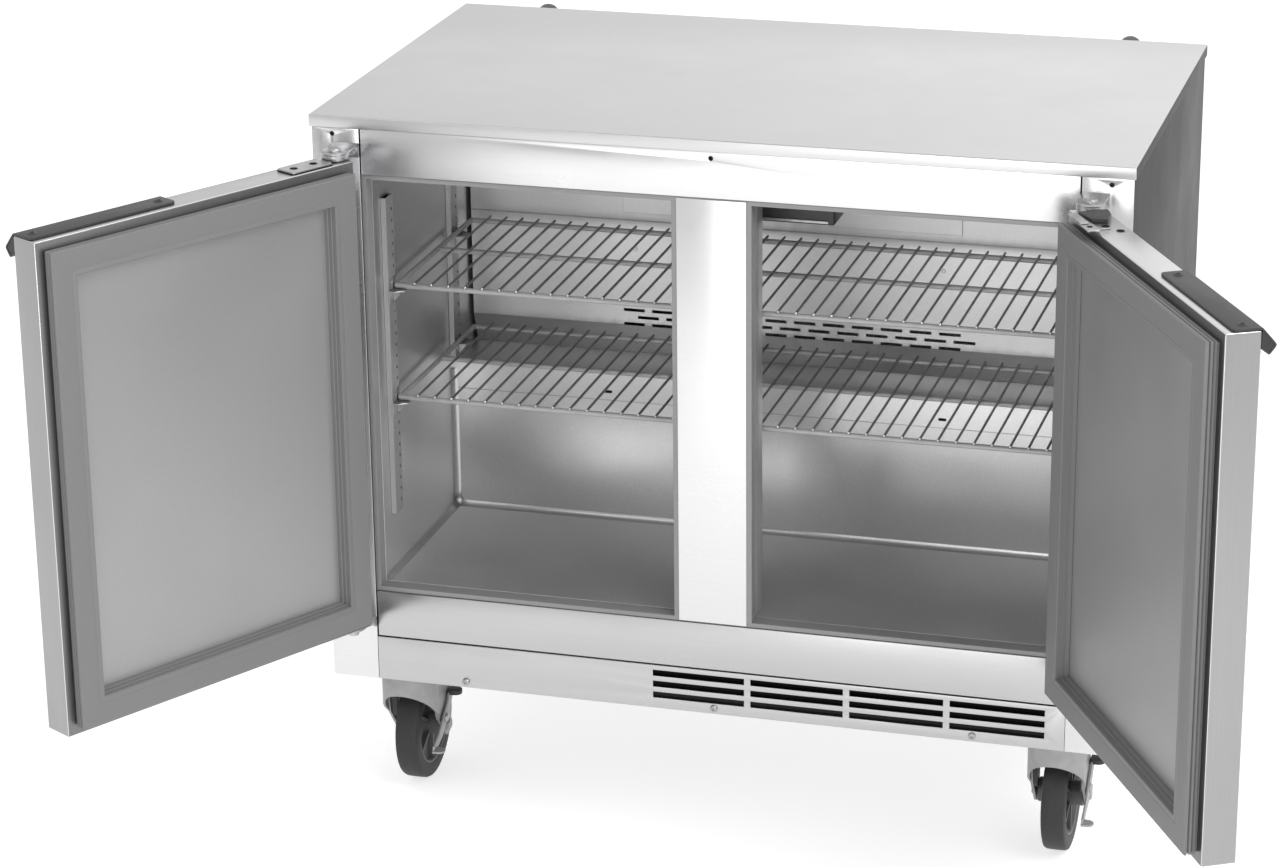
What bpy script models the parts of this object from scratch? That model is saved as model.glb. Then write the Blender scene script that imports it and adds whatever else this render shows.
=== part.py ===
"""Two-door undercounter refrigerator on casters, doors standing open.

Cabinet frame: +X to the right, +Y to the back, +Z up. The cabinet is drawn
round an empty at the middle of its front face, level with its underside.
Each door, caster, wheel, fan and knob hangs from an empty or an origin on
its own axis. All sizes are in metres.
"""
import math

import bmesh
import bpy
from mathutils import Matrix, Vector

# Cabinet shell
WIDTH = 0.8636
DEPTH = 0.5130
BODY_HEIGHT = 0.6220
SHEET = 0.0012
GAP = 0.0003
STILE_WIDTH = 0.0520
SKIRT_DROP = 0.0020
CHASSIS_BOTTOM = 0.0042
OPENING_BOTTOM = 0.1018
TOP_RAIL_HEIGHT = 0.0495
KICK_HEIGHT = 0.0480
RAIL_GAP = 0.0016
RAIL_FLANGE = 0.0150
WORKTOP_THICKNESS = 0.0130
WORKTOP_OVERHANG = 0.0020
WORKTOP_FRONT_OVERHANG = 0.0034
KEY_HOLE_RADIUS = 0.0025
KEY_HOLE_DROP = 0.0072

# Centre post and breaker strip
MULLION_WIDTH = 0.0740
POST_DEPTH = 0.0280
BREAKER_WIDTH = 0.0055
BREAKER_DEPTH = 0.0185
BREAKER_SETBACK = 0.0010

# Cavity
LINER_SHEET = 0.0008
FOAM = 0.0500
STEP_FRONT = 0.2600
STEP_TOP = 0.2810
CAVITY_BACK = 0.4600

# Evaporator housing
COVER_FRONT = 0.3280
COVER_BEND = 0.3180
COVER_SETBACK = 0.0130
COVER_EDGE_GAP = 0.0040
SLOT_LENGTH = 0.0245
SLOT_HEIGHT = 0.0036
SLOT_PITCH = 0.0331
SLOT_COUNT = 12
SLOT_ROWS = ((0.3358, 0.0), (0.3275, 0.5), (0.3192, 0.0))
SLOT_PATTERN_OFFSET = 0.0040
COIL_DEPTH = 0.0500
COIL_HEIGHT = 0.1500
FIN_THICKNESS = 0.0030
FIN_PITCH = 0.0200
EVAPORATOR_FAN_RADIUS = 0.0650
EVAPORATOR_FAN_X = 0.2400
EVAPORATOR_FAN_Z = 0.4200

# Shelving
PILASTER_WIDTH = 0.0220
PILASTER_DEPTH = 0.0060
PILASTER_BOTTOM = 0.1770
PILASTER_TOP_GAP = 0.0320
PILASTER_FRONT_Y = 0.0530
PILASTER_REAR_Y = 0.2620
SHELF_FRONT = 0.0510
SHELF_DEPTH = 0.2580
SHELF_MIDDLE = 0.1900
SHELF_SIDE_GAP = 0.0020
SHELF_HEIGHTS = {"upper": 0.4410, "lower": 0.3140}
ROD = 0.0050
WIRE = 0.0025
WIRE_PITCH = 0.01905

# Control
CONTROL_LEFT = -0.0300
CONTROL_RIGHT = 0.1040
CONTROL_FRONT = 0.1100
CONTROL_BACK = 0.1700
CONTROL_HEIGHT = 0.0480
KNOB_RADIUS = 0.0120
KNOB_LENGTH = 0.0120

# Kick panel louvres
LOUVRE_LENGTH = 0.1010
LOUVRE_PITCH = 0.1080
LOUVRE_GROUPS = 4
LOUVRE_HEIGHT = 0.0070
LOUVRE_ROWS = (0.0388, 0.0261, 0.0134)
LOUVRE_RIGHT_MARGIN = 0.0736

# Machine compartment
PAN_HEIGHT = 0.0460
PAN_SHEET = 0.0015
COMPRESSOR_RADIUS = 0.0680
COMPRESSOR_HEIGHT = 0.1600
COMPRESSOR_X = 0.2000
CONDENSER_X = -0.2400
CONDENSER_WIDTH = 0.2400
CONDENSER_HEIGHT = 0.1900
CONDENSER_DEPTH = 0.0350
CONDENSER_FAN_RADIUS = 0.0750
FAN_HUB_RADIUS = 0.0180
FAN_THICKNESS = 0.0080
FAN_PITCH_RISE = 0.0080
FAN_BLADES = 5
MOTOR_RADIUS = 0.0300
MOTOR_LENGTH = 0.0450
INLET_WIDTH = 0.0300
INLET_HEIGHT = 0.0240
INLET_DEPTH = 0.0220
INLET_MARGIN = 0.0818
INLET_Z = 0.0900
BUMPER_RADIUS = 0.0130
BUMPER_LENGTH = 0.0450
BUMPER_STEM_RADIUS = 0.0030
BUMPER_STEM_LENGTH = 0.0026
BUMPER_MARGIN = 0.0888
BUMPER_DROP = 0.0035

# Doors
DOOR_ANGLE = math.radians(119.6)
DOOR_SIDE_REVEAL = 0.0284
DOOR_BOTTOM = 0.0750
DOOR_TOP_REVEAL = 0.0250
PAN_DEPTH = 0.0346
PAN_FLANGE = 0.0220
DOOR_CENTRE_GAP = 0.0015
GASKET_DEPTH = 0.0146
GASKET_INSET = 0.0094
GASKET_FACE = 0.0286
GASKET_BEVEL = 0.0040
HINGE_FROM_EDGE = 0.0091
HINGE_FROM_FRONT = 0.0340
HANDLE_LENGTH = 0.1780
HANDLE_END_GAP = 0.0005
HANDLE_SHEET = 0.0025
HANDLE_PLATE = 0.0270
HANDLE_LIP_OUT = 0.0190
HANDLE_LIP_DROP = 0.0200

# Hinge brackets
BRACKET_WIDTH = 0.0280
BRACKET_SHEET = 0.0025
BRACKET_REACH = 0.0460
BRACKET_DROP = 0.0155
BRACKET_CLEARANCE = 0.0065
PIN_RADIUS = 0.0045
PIN_INSERT = 0.0100
PIN_CLEARANCE = 0.0010
BUSHING_RADIUS = 0.0130
BUSHING_HEIGHT = 0.0070
BUSHING_CAP_RADIUS = 0.0065
BUSHING_CAP_HEIGHT = 0.0050

# Casters
WHEEL_RADIUS = 0.0635
WHEEL_WIDTH = 0.0260
WHEEL_HUB_RADIUS = 0.0140
WHEEL_HUB_WIDTH = 0.0560
WHEEL_WEB_RADIUS = 0.0480
WHEEL_WEB_WIDTH = 0.0100
AXLE_RADIUS = 0.0045
AXLE_CLEARANCE = 0.0005
AXLE_DROP = 0.0930
TRAIL = 0.0400
CASTER_MARGIN = 0.0680
FRONT_CASTER_Y = 0.0547
REAR_CASTER_MARGIN = 0.0830
PLATE_LENGTH = 0.0800
PLATE_FRONT = 0.0350
PLATE_WIDTH = 0.0640
PLATE_SHEET = 0.0030
RACE_RADIUS = 0.0220
RACE_HEIGHT = 0.0030
YOKE_RADIUS = 0.0340
YOKE_SHEET = 0.0030
YOKE_EYE_RADIUS = 0.0140
YOKE_FRONT_DROP = 0.0370
LEVER_PIVOT_Y = 0.0240
LEVER_PIVOT_DROP = 0.0780
LEVER_SHEET = 0.0030
TAB_WIDTH = 0.0130
TAB_LENGTH = 0.0120

OPENING_TOP = BODY_HEIGHT - TOP_RAIL_HEIGHT
CAVITY_HALF = WIDTH / 2 - STILE_WIDTH - BREAKER_WIDTH
CAVITY_BOTTOM = OPENING_BOTTOM + BREAKER_WIDTH
CAVITY_TOP = OPENING_TOP - BREAKER_WIDTH
PILASTER_TOP = CAVITY_TOP - PILASTER_TOP_GAP
CAVITY_FRONT = BREAKER_SETBACK + BREAKER_DEPTH + GAP
POST_HALF = MULLION_WIDTH / 2 + BREAKER_WIDTH
DOOR_TOP = BODY_HEIGHT - DOOR_TOP_REVEAL
DOOR_WIDTH = WIDTH / 2 - DOOR_CENTRE_GAP - DOOR_SIDE_REVEAL
FREE_EDGE = DOOR_WIDTH - HINGE_FROM_EDGE
HINGE_X = DOOR_CENTRE_GAP + FREE_EDGE
PAN_INNER = HINGE_FROM_FRONT - GASKET_DEPTH
PAN_OUTER = PAN_INNER - PAN_DEPTH

INLET_X = WIDTH / 2 - INLET_MARGIN
BUMPER_X = WIDTH / 2 - BUMPER_MARGIN
BUMPER_Z = BODY_HEIGHT - BUMPER_DROP
CASTER_X = WIDTH / 2 - CASTER_MARGIN
REAR_CASTER_Y = DEPTH - REAR_CASTER_MARGIN
WHOLE_HEIGHT = AXLE_DROP + WHEEL_RADIUS
FRONT_REACH = (HINGE_FROM_FRONT + FREE_EDGE * math.sin(DOOR_ANGLE)
               - PAN_INNER * math.cos(DOOR_ANGLE))
BACK_REACH = DEPTH + BUMPER_LENGTH + GAP
FRONT_Y = (FRONT_REACH - BACK_REACH) / 2

STEEL = ("stainless", (0.62, 0.63, 0.64), 0.32, 1.0)
LINER = ("liner_steel", (0.50, 0.51, 0.52), 0.42, 1.0)
GREY = ("gasket_grey", (0.22, 0.22, 0.22), 0.60, 0.0)
STRIP = ("breaker_grey", (0.66, 0.66, 0.66), 0.50, 0.0)
PANEL = ("door_panel_grey", (0.45, 0.45, 0.45), 0.45, 0.6)
BLACK = ("black_paint", (0.04, 0.04, 0.04), 0.45, 0.0)
ZINC = ("zinc", (0.60, 0.60, 0.58), 0.35, 1.0)
YOKE = ("yoke_grey", (0.30, 0.30, 0.30), 0.45, 0.8)
RUBBER = ("wheel_rubber", (0.02, 0.02, 0.02), 0.60, 0.0)
CHROME = ("shelf_chrome", (0.60, 0.60, 0.60), 0.25, 1.0)
FOAM_YELLOW = ("foam", (0.78, 0.68, 0.42), 0.90, 0.0)
COPPER = ("coil_aluminium", (0.60, 0.60, 0.60), 0.40, 1.0)


def material(spec):
    """The Principled material of one finish, made once."""
    name, colour, roughness, metallic = spec
    found = bpy.data.materials.get(name)
    if found:
        return found
    made = bpy.data.materials.new(name)
    made.use_nodes = True
    shader = made.node_tree.nodes["Principled BSDF"]
    shader.inputs["Base Color"].default_value = (*colour, 1.0)
    shader.inputs["Roughness"].default_value = roughness
    shader.inputs["Metallic"].default_value = metallic
    made.diffuse_color = (*colour, 1.0)
    return made


def empty(name, location, parent=None, turn=0.0):
    """An empty that carries what moves with it."""
    made = bpy.data.objects.new(name, None)
    made.location = location
    made.rotation_euler = (0.0, 0.0, turn)
    made.parent = parent
    bpy.context.collection.objects.link(made)
    return made


def solid(name, mesh, spec, parent, location=(0.0, 0.0, 0.0), smooth=False):
    """Turn a bmesh into one named object."""
    bmesh.ops.recalc_face_normals(mesh, faces=mesh.faces)
    data = bpy.data.meshes.new(name)
    mesh.to_mesh(data)
    mesh.free()
    made = bpy.data.objects.new(name, data)
    made.parent = parent
    made.location = location
    bpy.context.collection.objects.link(made)
    data.materials.append(material(spec))
    if smooth:
        data.shade_smooth()
        data.set_sharp_from_angle(angle=math.radians(35))
    return made


def combine(target, mesh, operation, label):
    """Cut, join or intersect an object with a hidden tool solid."""
    tool = solid(f"{target.name}_{label}", mesh, STEEL, target.parent, target.location)
    tool.hide_render = True
    tool.display_type = "WIRE"
    step = target.modifiers.new(label, "BOOLEAN")
    step.operation = operation
    step.solver = "EXACT"
    step.object = tool


def block(low, high, mesh=None):
    """A box between two corners, in a new bmesh or added to one."""
    mesh = mesh or bmesh.new()
    low, high = Vector(low), Vector(high)
    size = high - low
    place = Matrix.Translation((low + high) / 2) @ Matrix.Diagonal((*size, 1.0))
    bmesh.ops.create_cube(mesh, size=1.0, matrix=place)
    return mesh


def prism(points, axis, start, end, mesh=None):
    """Extrude an outline: its two coordinates are the axes other than axis."""
    mesh = mesh or bmesh.new()
    order = {"x": (2, 0, 1), "y": (0, 2, 1), "z": (0, 1, 2)}[axis]
    corners = []
    for first, second in points:
        values = (first, second, start)
        corners.append(mesh.verts.new([values[index] for index in order]))
    face = mesh.faces.new(corners)
    grown = bmesh.ops.extrude_face_region(mesh, geom=[face])["geom"]
    moved = [item for item in grown if isinstance(item, bmesh.types.BMVert)]
    shift = Vector([(0.0, 0.0, end - start)[index] for index in order])
    bmesh.ops.translate(mesh, verts=moved, vec=shift)
    return mesh


def turned(profile, axis, steps):
    """Spin an outline of (radius, height) points round an axis."""
    mesh = bmesh.new()
    ring = [mesh.verts.new((radius, 0.0, height)) for radius, height in profile]
    edges = [mesh.edges.new(pair) for pair in zip(ring, ring[1:])]
    if profile[0][0] > 0.0:
        edges.append(mesh.edges.new((ring[-1], ring[0])))
    bmesh.ops.spin(mesh, geom=ring + edges, axis=(0, 0, 1), cent=(0, 0, 0), dvec=(0, 0, 0),
                   angle=math.tau, steps=steps, use_merge=True, use_duplicate=False)
    bmesh.ops.remove_doubles(mesh, verts=mesh.verts, dist=1e-6)
    turn = {"z": Matrix.Identity(4),
            "y": Matrix.Rotation(-math.pi / 2, 4, "X"),
            "x": Matrix.Rotation(math.pi / 2, 4, "Y")}[axis]
    bmesh.ops.transform(mesh, matrix=turn, verts=mesh.verts)
    return mesh


def rod(radius, low, high, axis="z", steps=16, centre=(0.0, 0.0, 0.0)):
    """A plain round bar along an axis."""
    mesh = turned(((0.0, low), (radius, low), (radius, high), (0.0, high)), axis, steps)
    bmesh.ops.translate(mesh, verts=mesh.verts, vec=centre)
    return mesh


def arc(centre, radius, start, end, steps):
    """Points along an arc, angles in degrees."""
    angles = [math.radians(start + (end - start) * step / steps) for step in range(steps + 1)]
    return [(centre[0] + radius * math.cos(a), centre[1] + radius * math.sin(a)) for a in angles]


def rectangle_ring(mesh, centre, half, loops):
    """Bridge rectangles given by (inset, y) into a mitred closed ring."""
    edge_loops = []
    for inset, level in loops:
        wide, high = half[0] - inset, half[1] - inset
        corners = [mesh.verts.new((centre[0] + sx * wide, level, centre[1] + sz * high))
                   for sx, sz in ((-1, -1), (1, -1), (1, 1), (-1, 1))]
        edge_loops.append([mesh.edges.new((corners[i - 1], corners[i])) for i in range(4)])
    for first, second in zip(edge_loops, edge_loops[1:] + edge_loops[:1]):
        bmesh.ops.bridge_loops(mesh, edges=first + second)
    return mesh


def cavity_outline(grow, front):
    """Side view of the cold space, grown outwards by a wall thickness."""
    bottom, top = CAVITY_BOTTOM - grow, CAVITY_TOP + grow
    step_front, step_top = STEP_FRONT + grow, STEP_TOP - grow
    back = CAVITY_BACK + grow
    return [(front, bottom), (step_front, bottom), (step_front, step_top),
            (back, step_top), (back, top), (front, top)]


def make_shell(frame):
    """Outer sheets, front rails and the foam between them and the liner."""
    half = WIDTH / 2
    for name, side in (("side_panel_left", -1), ("side_panel_right", 1)):
        outline = [(side * half, 0.0), (side * half, DEPTH),
                   (side * (half - SHEET), DEPTH), (side * (half - SHEET), SHEET),
                   (side * (half - STILE_WIDTH), SHEET), (side * (half - STILE_WIDTH), 0.0)]
        panel = solid(name, prism(outline, "z", -SKIRT_DROP, BODY_HEIGHT - GAP), STEEL, frame)
        hole = rod(KEY_HOLE_RADIUS, -SHEET, 2 * SHEET, "y",
                   centre=(side * (half - STILE_WIDTH + 0.0295), 0.0, BODY_HEIGHT - KEY_HOLE_DROP))
        combine(panel, hole, "DIFFERENCE", "screw_hole")

    inner = half - STILE_WIDTH - GAP
    top = BODY_HEIGHT - GAP
    outline = [(0.0, OPENING_TOP), (0.0, top), (RAIL_FLANGE, top), (RAIL_FLANGE, top - SHEET),
               (SHEET, top - SHEET), (SHEET, OPENING_TOP)]
    rail = solid("top_rail", prism(outline, "x", -inner, inner), STEEL, frame)
    hole = rod(KEY_HOLE_RADIUS, -SHEET, 2 * SHEET, "y", centre=(0.0, 0.0, BODY_HEIGHT - KEY_HOLE_DROP))
    combine(rail, hole, "DIFFERENCE", "screw_hole")

    low = KICK_HEIGHT + RAIL_GAP
    outline = [(0.0, OPENING_BOTTOM), (0.0, low), (RAIL_FLANGE, low), (RAIL_FLANGE, low + SHEET),
               (SHEET, low + SHEET), (SHEET, OPENING_BOTTOM)]
    solid("bottom_rail", prism(outline, "x", -inner, inner), STEEL, frame)

    cover_low, cover_high = OPENING_BOTTOM + RAIL_GAP, OPENING_TOP - RAIL_GAP
    solid("mullion_cover",
          block((-MULLION_WIDTH / 2, 0.0, cover_low),
                (MULLION_WIDTH / 2, BREAKER_SETBACK - GAP, cover_high)), STEEL, frame)

    tray = block((-half - WORKTOP_OVERHANG, -WORKTOP_FRONT_OVERHANG, BODY_HEIGHT),
                 (half + WORKTOP_OVERHANG, DEPTH + WORKTOP_OVERHANG, BODY_HEIGHT + WORKTOP_THICKNESS))
    worktop = solid("worktop", tray, STEEL, frame)
    hollow = block((-half + SHEET, SHEET, BODY_HEIGHT - SHEET),
                   (half - SHEET, DEPTH - SHEET, BODY_HEIGHT + WORKTOP_THICKNESS - SHEET))
    combine(worktop, hollow, "DIFFERENCE", "hollow")


def make_back(frame):
    """Back sheet with its vents, and the power inlet in it."""
    half = WIDTH / 2 - SHEET - GAP
    panel = solid("back_panel",
                  block((-half, DEPTH - SHEET, -SKIRT_DROP), (half, DEPTH, BODY_HEIGHT - GAP)),
                  STEEL, frame)
    vents = bmesh.new()
    vent_length, vent_pitch, vent_rows = 0.090, 0.110, (0.165, 0.185, 0.205)
    for column in (-1.5, -0.5, 0.5, 1.5):
        for height in vent_rows:
            middle = column * vent_pitch
            block((middle - vent_length / 2, DEPTH - 3 * SHEET, height),
                  (middle + vent_length / 2, DEPTH + SHEET, height + 0.008), vents)
    combine(panel, vents, "DIFFERENCE", "vents")
    opening = block((INLET_X - INLET_WIDTH / 2 - GAP, DEPTH - 3 * SHEET, INLET_Z - INLET_HEIGHT / 2 - GAP),
                    (INLET_X + INLET_WIDTH / 2 + GAP, DEPTH + SHEET, INLET_Z + INLET_HEIGHT / 2 + GAP))
    combine(panel, opening, "DIFFERENCE", "inlet_opening")

    rim, wall = 0.005, 0.003
    inlet = solid("power_inlet",
                  block((INLET_X - INLET_WIDTH / 2, DEPTH - INLET_DEPTH, INLET_Z - INLET_HEIGHT / 2),
                        (INLET_X + INLET_WIDTH / 2, DEPTH + 0.001, INLET_Z + INLET_HEIGHT / 2)),
                  BLACK, frame)
    flange = block((INLET_X - INLET_WIDTH / 2 - rim, DEPTH + GAP, INLET_Z - INLET_HEIGHT / 2 - rim),
                   (INLET_X + INLET_WIDTH / 2 + rim, DEPTH + 0.002, INLET_Z + INLET_HEIGHT / 2 + rim))
    combine(inlet, flange, "UNION", "flange")
    wide, high = INLET_WIDTH / 2 - wall, INLET_HEIGHT / 2 - wall
    socket = block((INLET_X - wide, DEPTH - INLET_DEPTH + wall, INLET_Z - high),
                   (INLET_X + wide, DEPTH + 0.004, INLET_Z + high))
    combine(inlet, socket, "DIFFERENCE", "socket")

    for name, side in (("wall_bumper_left", -1), ("wall_bumper_right", 1)):
        crown = 0.004
        outline = ((0.0, 0.0), (BUMPER_STEM_RADIUS, 0.0), (BUMPER_STEM_RADIUS, BUMPER_STEM_LENGTH),
                   (BUMPER_RADIUS, BUMPER_STEM_LENGTH), (BUMPER_RADIUS, BUMPER_LENGTH - crown),
                   (BUMPER_RADIUS - crown, BUMPER_LENGTH), (0.0, BUMPER_LENGTH))
        solid(name, turned(outline, "y", 20), BLACK, frame,
              (side * BUMPER_X, DEPTH + GAP, BUMPER_Z), smooth=True)


def make_cavity(frame):
    """Liner, foam, breaker strip and the post between the two doors."""
    front = CAVITY_FRONT
    grow = LINER_SHEET
    liner = solid("liner", prism(cavity_outline(grow, front), "x", -CAVITY_HALF - grow, CAVITY_HALF + grow),
                  LINER, frame)
    space = prism(cavity_outline(0.0, front - 0.01), "x", -CAVITY_HALF, CAVITY_HALF)
    combine(liner, space, "DIFFERENCE", "space")

    floor_bottom = KICK_HEIGHT + RAIL_GAP + SHEET + GAP
    machine_front, machine_top = STEP_FRONT + FOAM, STEP_TOP - FOAM
    back, top = DEPTH - SHEET - GAP, BODY_HEIGHT - 2 * GAP
    outline = [(front, floor_bottom), (machine_front, floor_bottom), (machine_front, machine_top),
               (back, machine_top), (back, top), (front, top)]
    side = WIDTH / 2 - SHEET - GAP
    foam = solid("cabinet_foam", prism(outline, "x", -side, side), FOAM_YELLOW, frame)
    grow = LINER_SHEET + GAP
    space = prism(cavity_outline(grow, front - 0.01), "x", -CAVITY_HALF - grow, CAVITY_HALF + grow)
    combine(foam, space, "DIFFERENCE", "space")

    half = WIDTH / 2 - STILE_WIDTH - GAP
    y_front, y_back = BREAKER_SETBACK, BREAKER_SETBACK + BREAKER_DEPTH
    breaker = solid("breaker_frame",
                    block((-half, y_front, OPENING_BOTTOM + GAP), (half, y_back, OPENING_TOP - GAP)),
                    STRIP, frame)
    windows = bmesh.new()
    for left, right in ((-CAVITY_HALF, -POST_HALF), (POST_HALF, CAVITY_HALF)):
        block((left, y_front - 0.01, CAVITY_BOTTOM), (right, y_back + 0.01, CAVITY_TOP), windows)
    combine(breaker, windows, "DIFFERENCE", "windows")

    post_front = CAVITY_FRONT
    solid("mullion_post",
          block((-POST_HALF, post_front, CAVITY_BOTTOM + GAP),
                (POST_HALF, post_front + POST_DEPTH, CAVITY_TOP - GAP)), LINER, frame)


def make_evaporator(frame):
    """Cover with air slots, coil, fan and motor behind it."""
    half = CAVITY_HALF - COVER_EDGE_GAP
    top = CAVITY_TOP - GAP
    low = STEP_TOP + GAP
    outline = [(COVER_FRONT, top), (COVER_FRONT, COVER_BEND), (COVER_FRONT + COVER_SETBACK, low),
               (COVER_FRONT + COVER_SETBACK + SHEET, low), (COVER_FRONT + SHEET, COVER_BEND),
               (COVER_FRONT + SHEET, top)]
    cover = solid("evaporator_cover", prism(outline, "x", -half, half), STEEL, frame)
    slots = bmesh.new()
    span = (SLOT_COUNT - 1) * SLOT_PITCH + SLOT_LENGTH
    for height, shift in SLOT_ROWS:
        for index in range(SLOT_COUNT):
            left = -span / 2 + SLOT_PATTERN_OFFSET + (index + shift) * SLOT_PITCH
            block((left, COVER_FRONT - 0.005, height - SLOT_HEIGHT / 2),
                  (left + SLOT_LENGTH, COVER_FRONT + 0.006, height + SLOT_HEIGHT / 2), slots)
    combine(cover, slots, "DIFFERENCE", "air_slots")

    coil = coil_block(-0.3300, 0.1200, COVER_FRONT + 0.040, COIL_DEPTH, 0.3400, COIL_HEIGHT)
    solid("evaporator_coil", coil, COPPER, frame)
    fan_y = COVER_FRONT + 0.024
    solid("evaporator_fan", fan_mesh(EVAPORATOR_FAN_RADIUS), BLACK, frame,
          (EVAPORATOR_FAN_X, fan_y, EVAPORATOR_FAN_Z), smooth=False)
    solid("evaporator_fan_motor", motor_mesh(), BLACK, frame,
          (EVAPORATOR_FAN_X, fan_y + FAN_THICKNESS + FAN_PITCH_RISE + 0.002, EVAPORATOR_FAN_Z), smooth=True)


def coil_block(left, right, front, depth, low, height):
    """Fin pack: a back plate with fins standing along it."""
    spine = 0.010
    outline = [(left, front + depth), (left, front)]
    count = int((right - left) / FIN_PITCH)
    pitch = (right - left - FIN_THICKNESS) / count
    for index in range(count):
        edge = left + index * pitch + FIN_THICKNESS
        outline += [(edge, front), (edge, front + depth - spine)]
        following = left + (index + 1) * pitch
        outline += [(following, front + depth - spine), (following, front)]
    outline += [(right, front), (right, front + depth)]
    return prism(outline, "z", low, low + height)


def fan_mesh(radius):
    """Flat hub and pitched blades in one piece, turning on the Y axis."""
    outline = []
    for blade in range(FAN_BLADES):
        middle = math.tau * blade / FAN_BLADES
        reach = math.tau / FAN_BLADES * 0.32
        for angle, distance in ((middle - reach * 1.2, FAN_HUB_RADIUS), (middle - reach, radius),
                                (middle, radius), (middle + reach, radius),
                                (middle + reach * 1.2, FAN_HUB_RADIUS)):
            outline.append((distance * math.cos(angle), distance * math.sin(angle)))
    mesh = prism(outline, "y", 0.0, FAN_THICKNESS)
    sector = math.tau / FAN_BLADES
    for point in mesh.verts:
        distance = math.hypot(point.co.x, point.co.z)
        if distance > FAN_HUB_RADIUS * 1.5:
            angle = math.atan2(point.co.z, point.co.x)
            offset = (angle + sector / 2) % sector - sector / 2
            point.co.y += FAN_PITCH_RISE * offset / sector * 2
    bmesh.ops.triangulate(mesh, faces=[face for face in mesh.faces if len(face.verts) == 4])
    return mesh


def motor_mesh():
    """Round motor body with a stepped nose, axis along Y."""
    nose = 0.006
    outline = ((0.0, 0.0), (MOTOR_RADIUS / 2, 0.0), (MOTOR_RADIUS / 2, nose), (MOTOR_RADIUS, nose),
               (MOTOR_RADIUS, MOTOR_LENGTH), (0.0, MOTOR_LENGTH))
    return turned(outline, "y", 20)


def make_shelves(frame):
    """Slotted uprights, modelled plain, and two wire shelves as wide as the cavity."""
    wall = CAVITY_HALF - GAP
    for side_name, side in (("left", -1), ("right", 1)):
        for place, middle, low in (("front", PILASTER_FRONT_Y, PILASTER_BOTTOM),
                                   ("rear", PILASTER_REAR_Y, STEP_TOP + 0.004)):
            ends = sorted((side * wall, side * (wall - PILASTER_DEPTH)))
            solid(f"pilaster_{place}_{side_name}",
                  block((ends[0], middle - PILASTER_WIDTH / 2, low),
                        (ends[1], middle + PILASTER_WIDTH / 2, PILASTER_TOP)), LINER, frame)
    outer = wall - PILASTER_DEPTH - SHELF_SIDE_GAP
    for level, height in SHELF_HEIGHTS.items():
        make_shelf(f"shelf_{level}", (-outer, outer), height, frame)


def make_shelf(name, ends, top, frame):
    """Square-section rods with wires laid across them, joined in one piece."""
    left, right = ends
    rod_top = top - WIRE * 0.8
    rod_low = rod_top - ROD
    back = SHELF_FRONT + SHELF_DEPTH
    half = ROD / 2
    bars = bmesh.new()
    block((left, SHELF_FRONT, rod_low), (right, back, rod_top), bars)
    shelf = solid(name, bars, CHROME, frame)
    holes = bmesh.new()
    for near, far in ((SHELF_FRONT + ROD, SHELF_MIDDLE - half), (SHELF_MIDDLE + half, back - ROD)):
        block((left + ROD, near, rod_low - 0.01), (right - ROD, far, rod_top + 0.01), holes)
    combine(shelf, holes, "DIFFERENCE", "openings")
    wires = bmesh.new()
    count = int((right - left - 2 * ROD) / WIRE_PITCH)
    first = (left + right) / 2 - (count - 1) / 2 * WIRE_PITCH
    for index in range(count):
        middle = first + index * WIRE_PITCH
        block((middle - WIRE / 2, SHELF_FRONT - 0.001, top - WIRE),
              (middle + WIRE / 2, back + 0.001, top), wires)
    combine(shelf, wires, "UNION", "wires")


def make_control(frame):
    """Thermostat box under the ceiling with its knob."""
    top = CAVITY_TOP - GAP
    solid("control_box",
          block((CONTROL_LEFT, CONTROL_FRONT, top - CONTROL_HEIGHT), (CONTROL_RIGHT, CONTROL_BACK, top)),
          BLACK, frame)
    outline = ((0.0, 0.0), (KNOB_RADIUS, 0.0), (KNOB_RADIUS * 0.85, KNOB_LENGTH), (0.0, KNOB_LENGTH))
    knob = turned(outline, "y", 20)
    bmesh.ops.rotate(knob, verts=knob.verts, cent=(0, 0, 0), matrix=Matrix.Rotation(math.pi, 3, "Z"))
    knob_object = solid("control_knob", knob, BLACK, frame,
                        (0.0, CONTROL_FRONT - GAP, top - CONTROL_HEIGHT / 2), smooth=True)
    grip = block((-0.0015, -KNOB_LENGTH - 0.004, -KNOB_RADIUS * 0.8),
                 (0.0015, -KNOB_LENGTH * 0.6, KNOB_RADIUS * 0.8))
    combine(knob_object, grip, "UNION", "grip")


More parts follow.
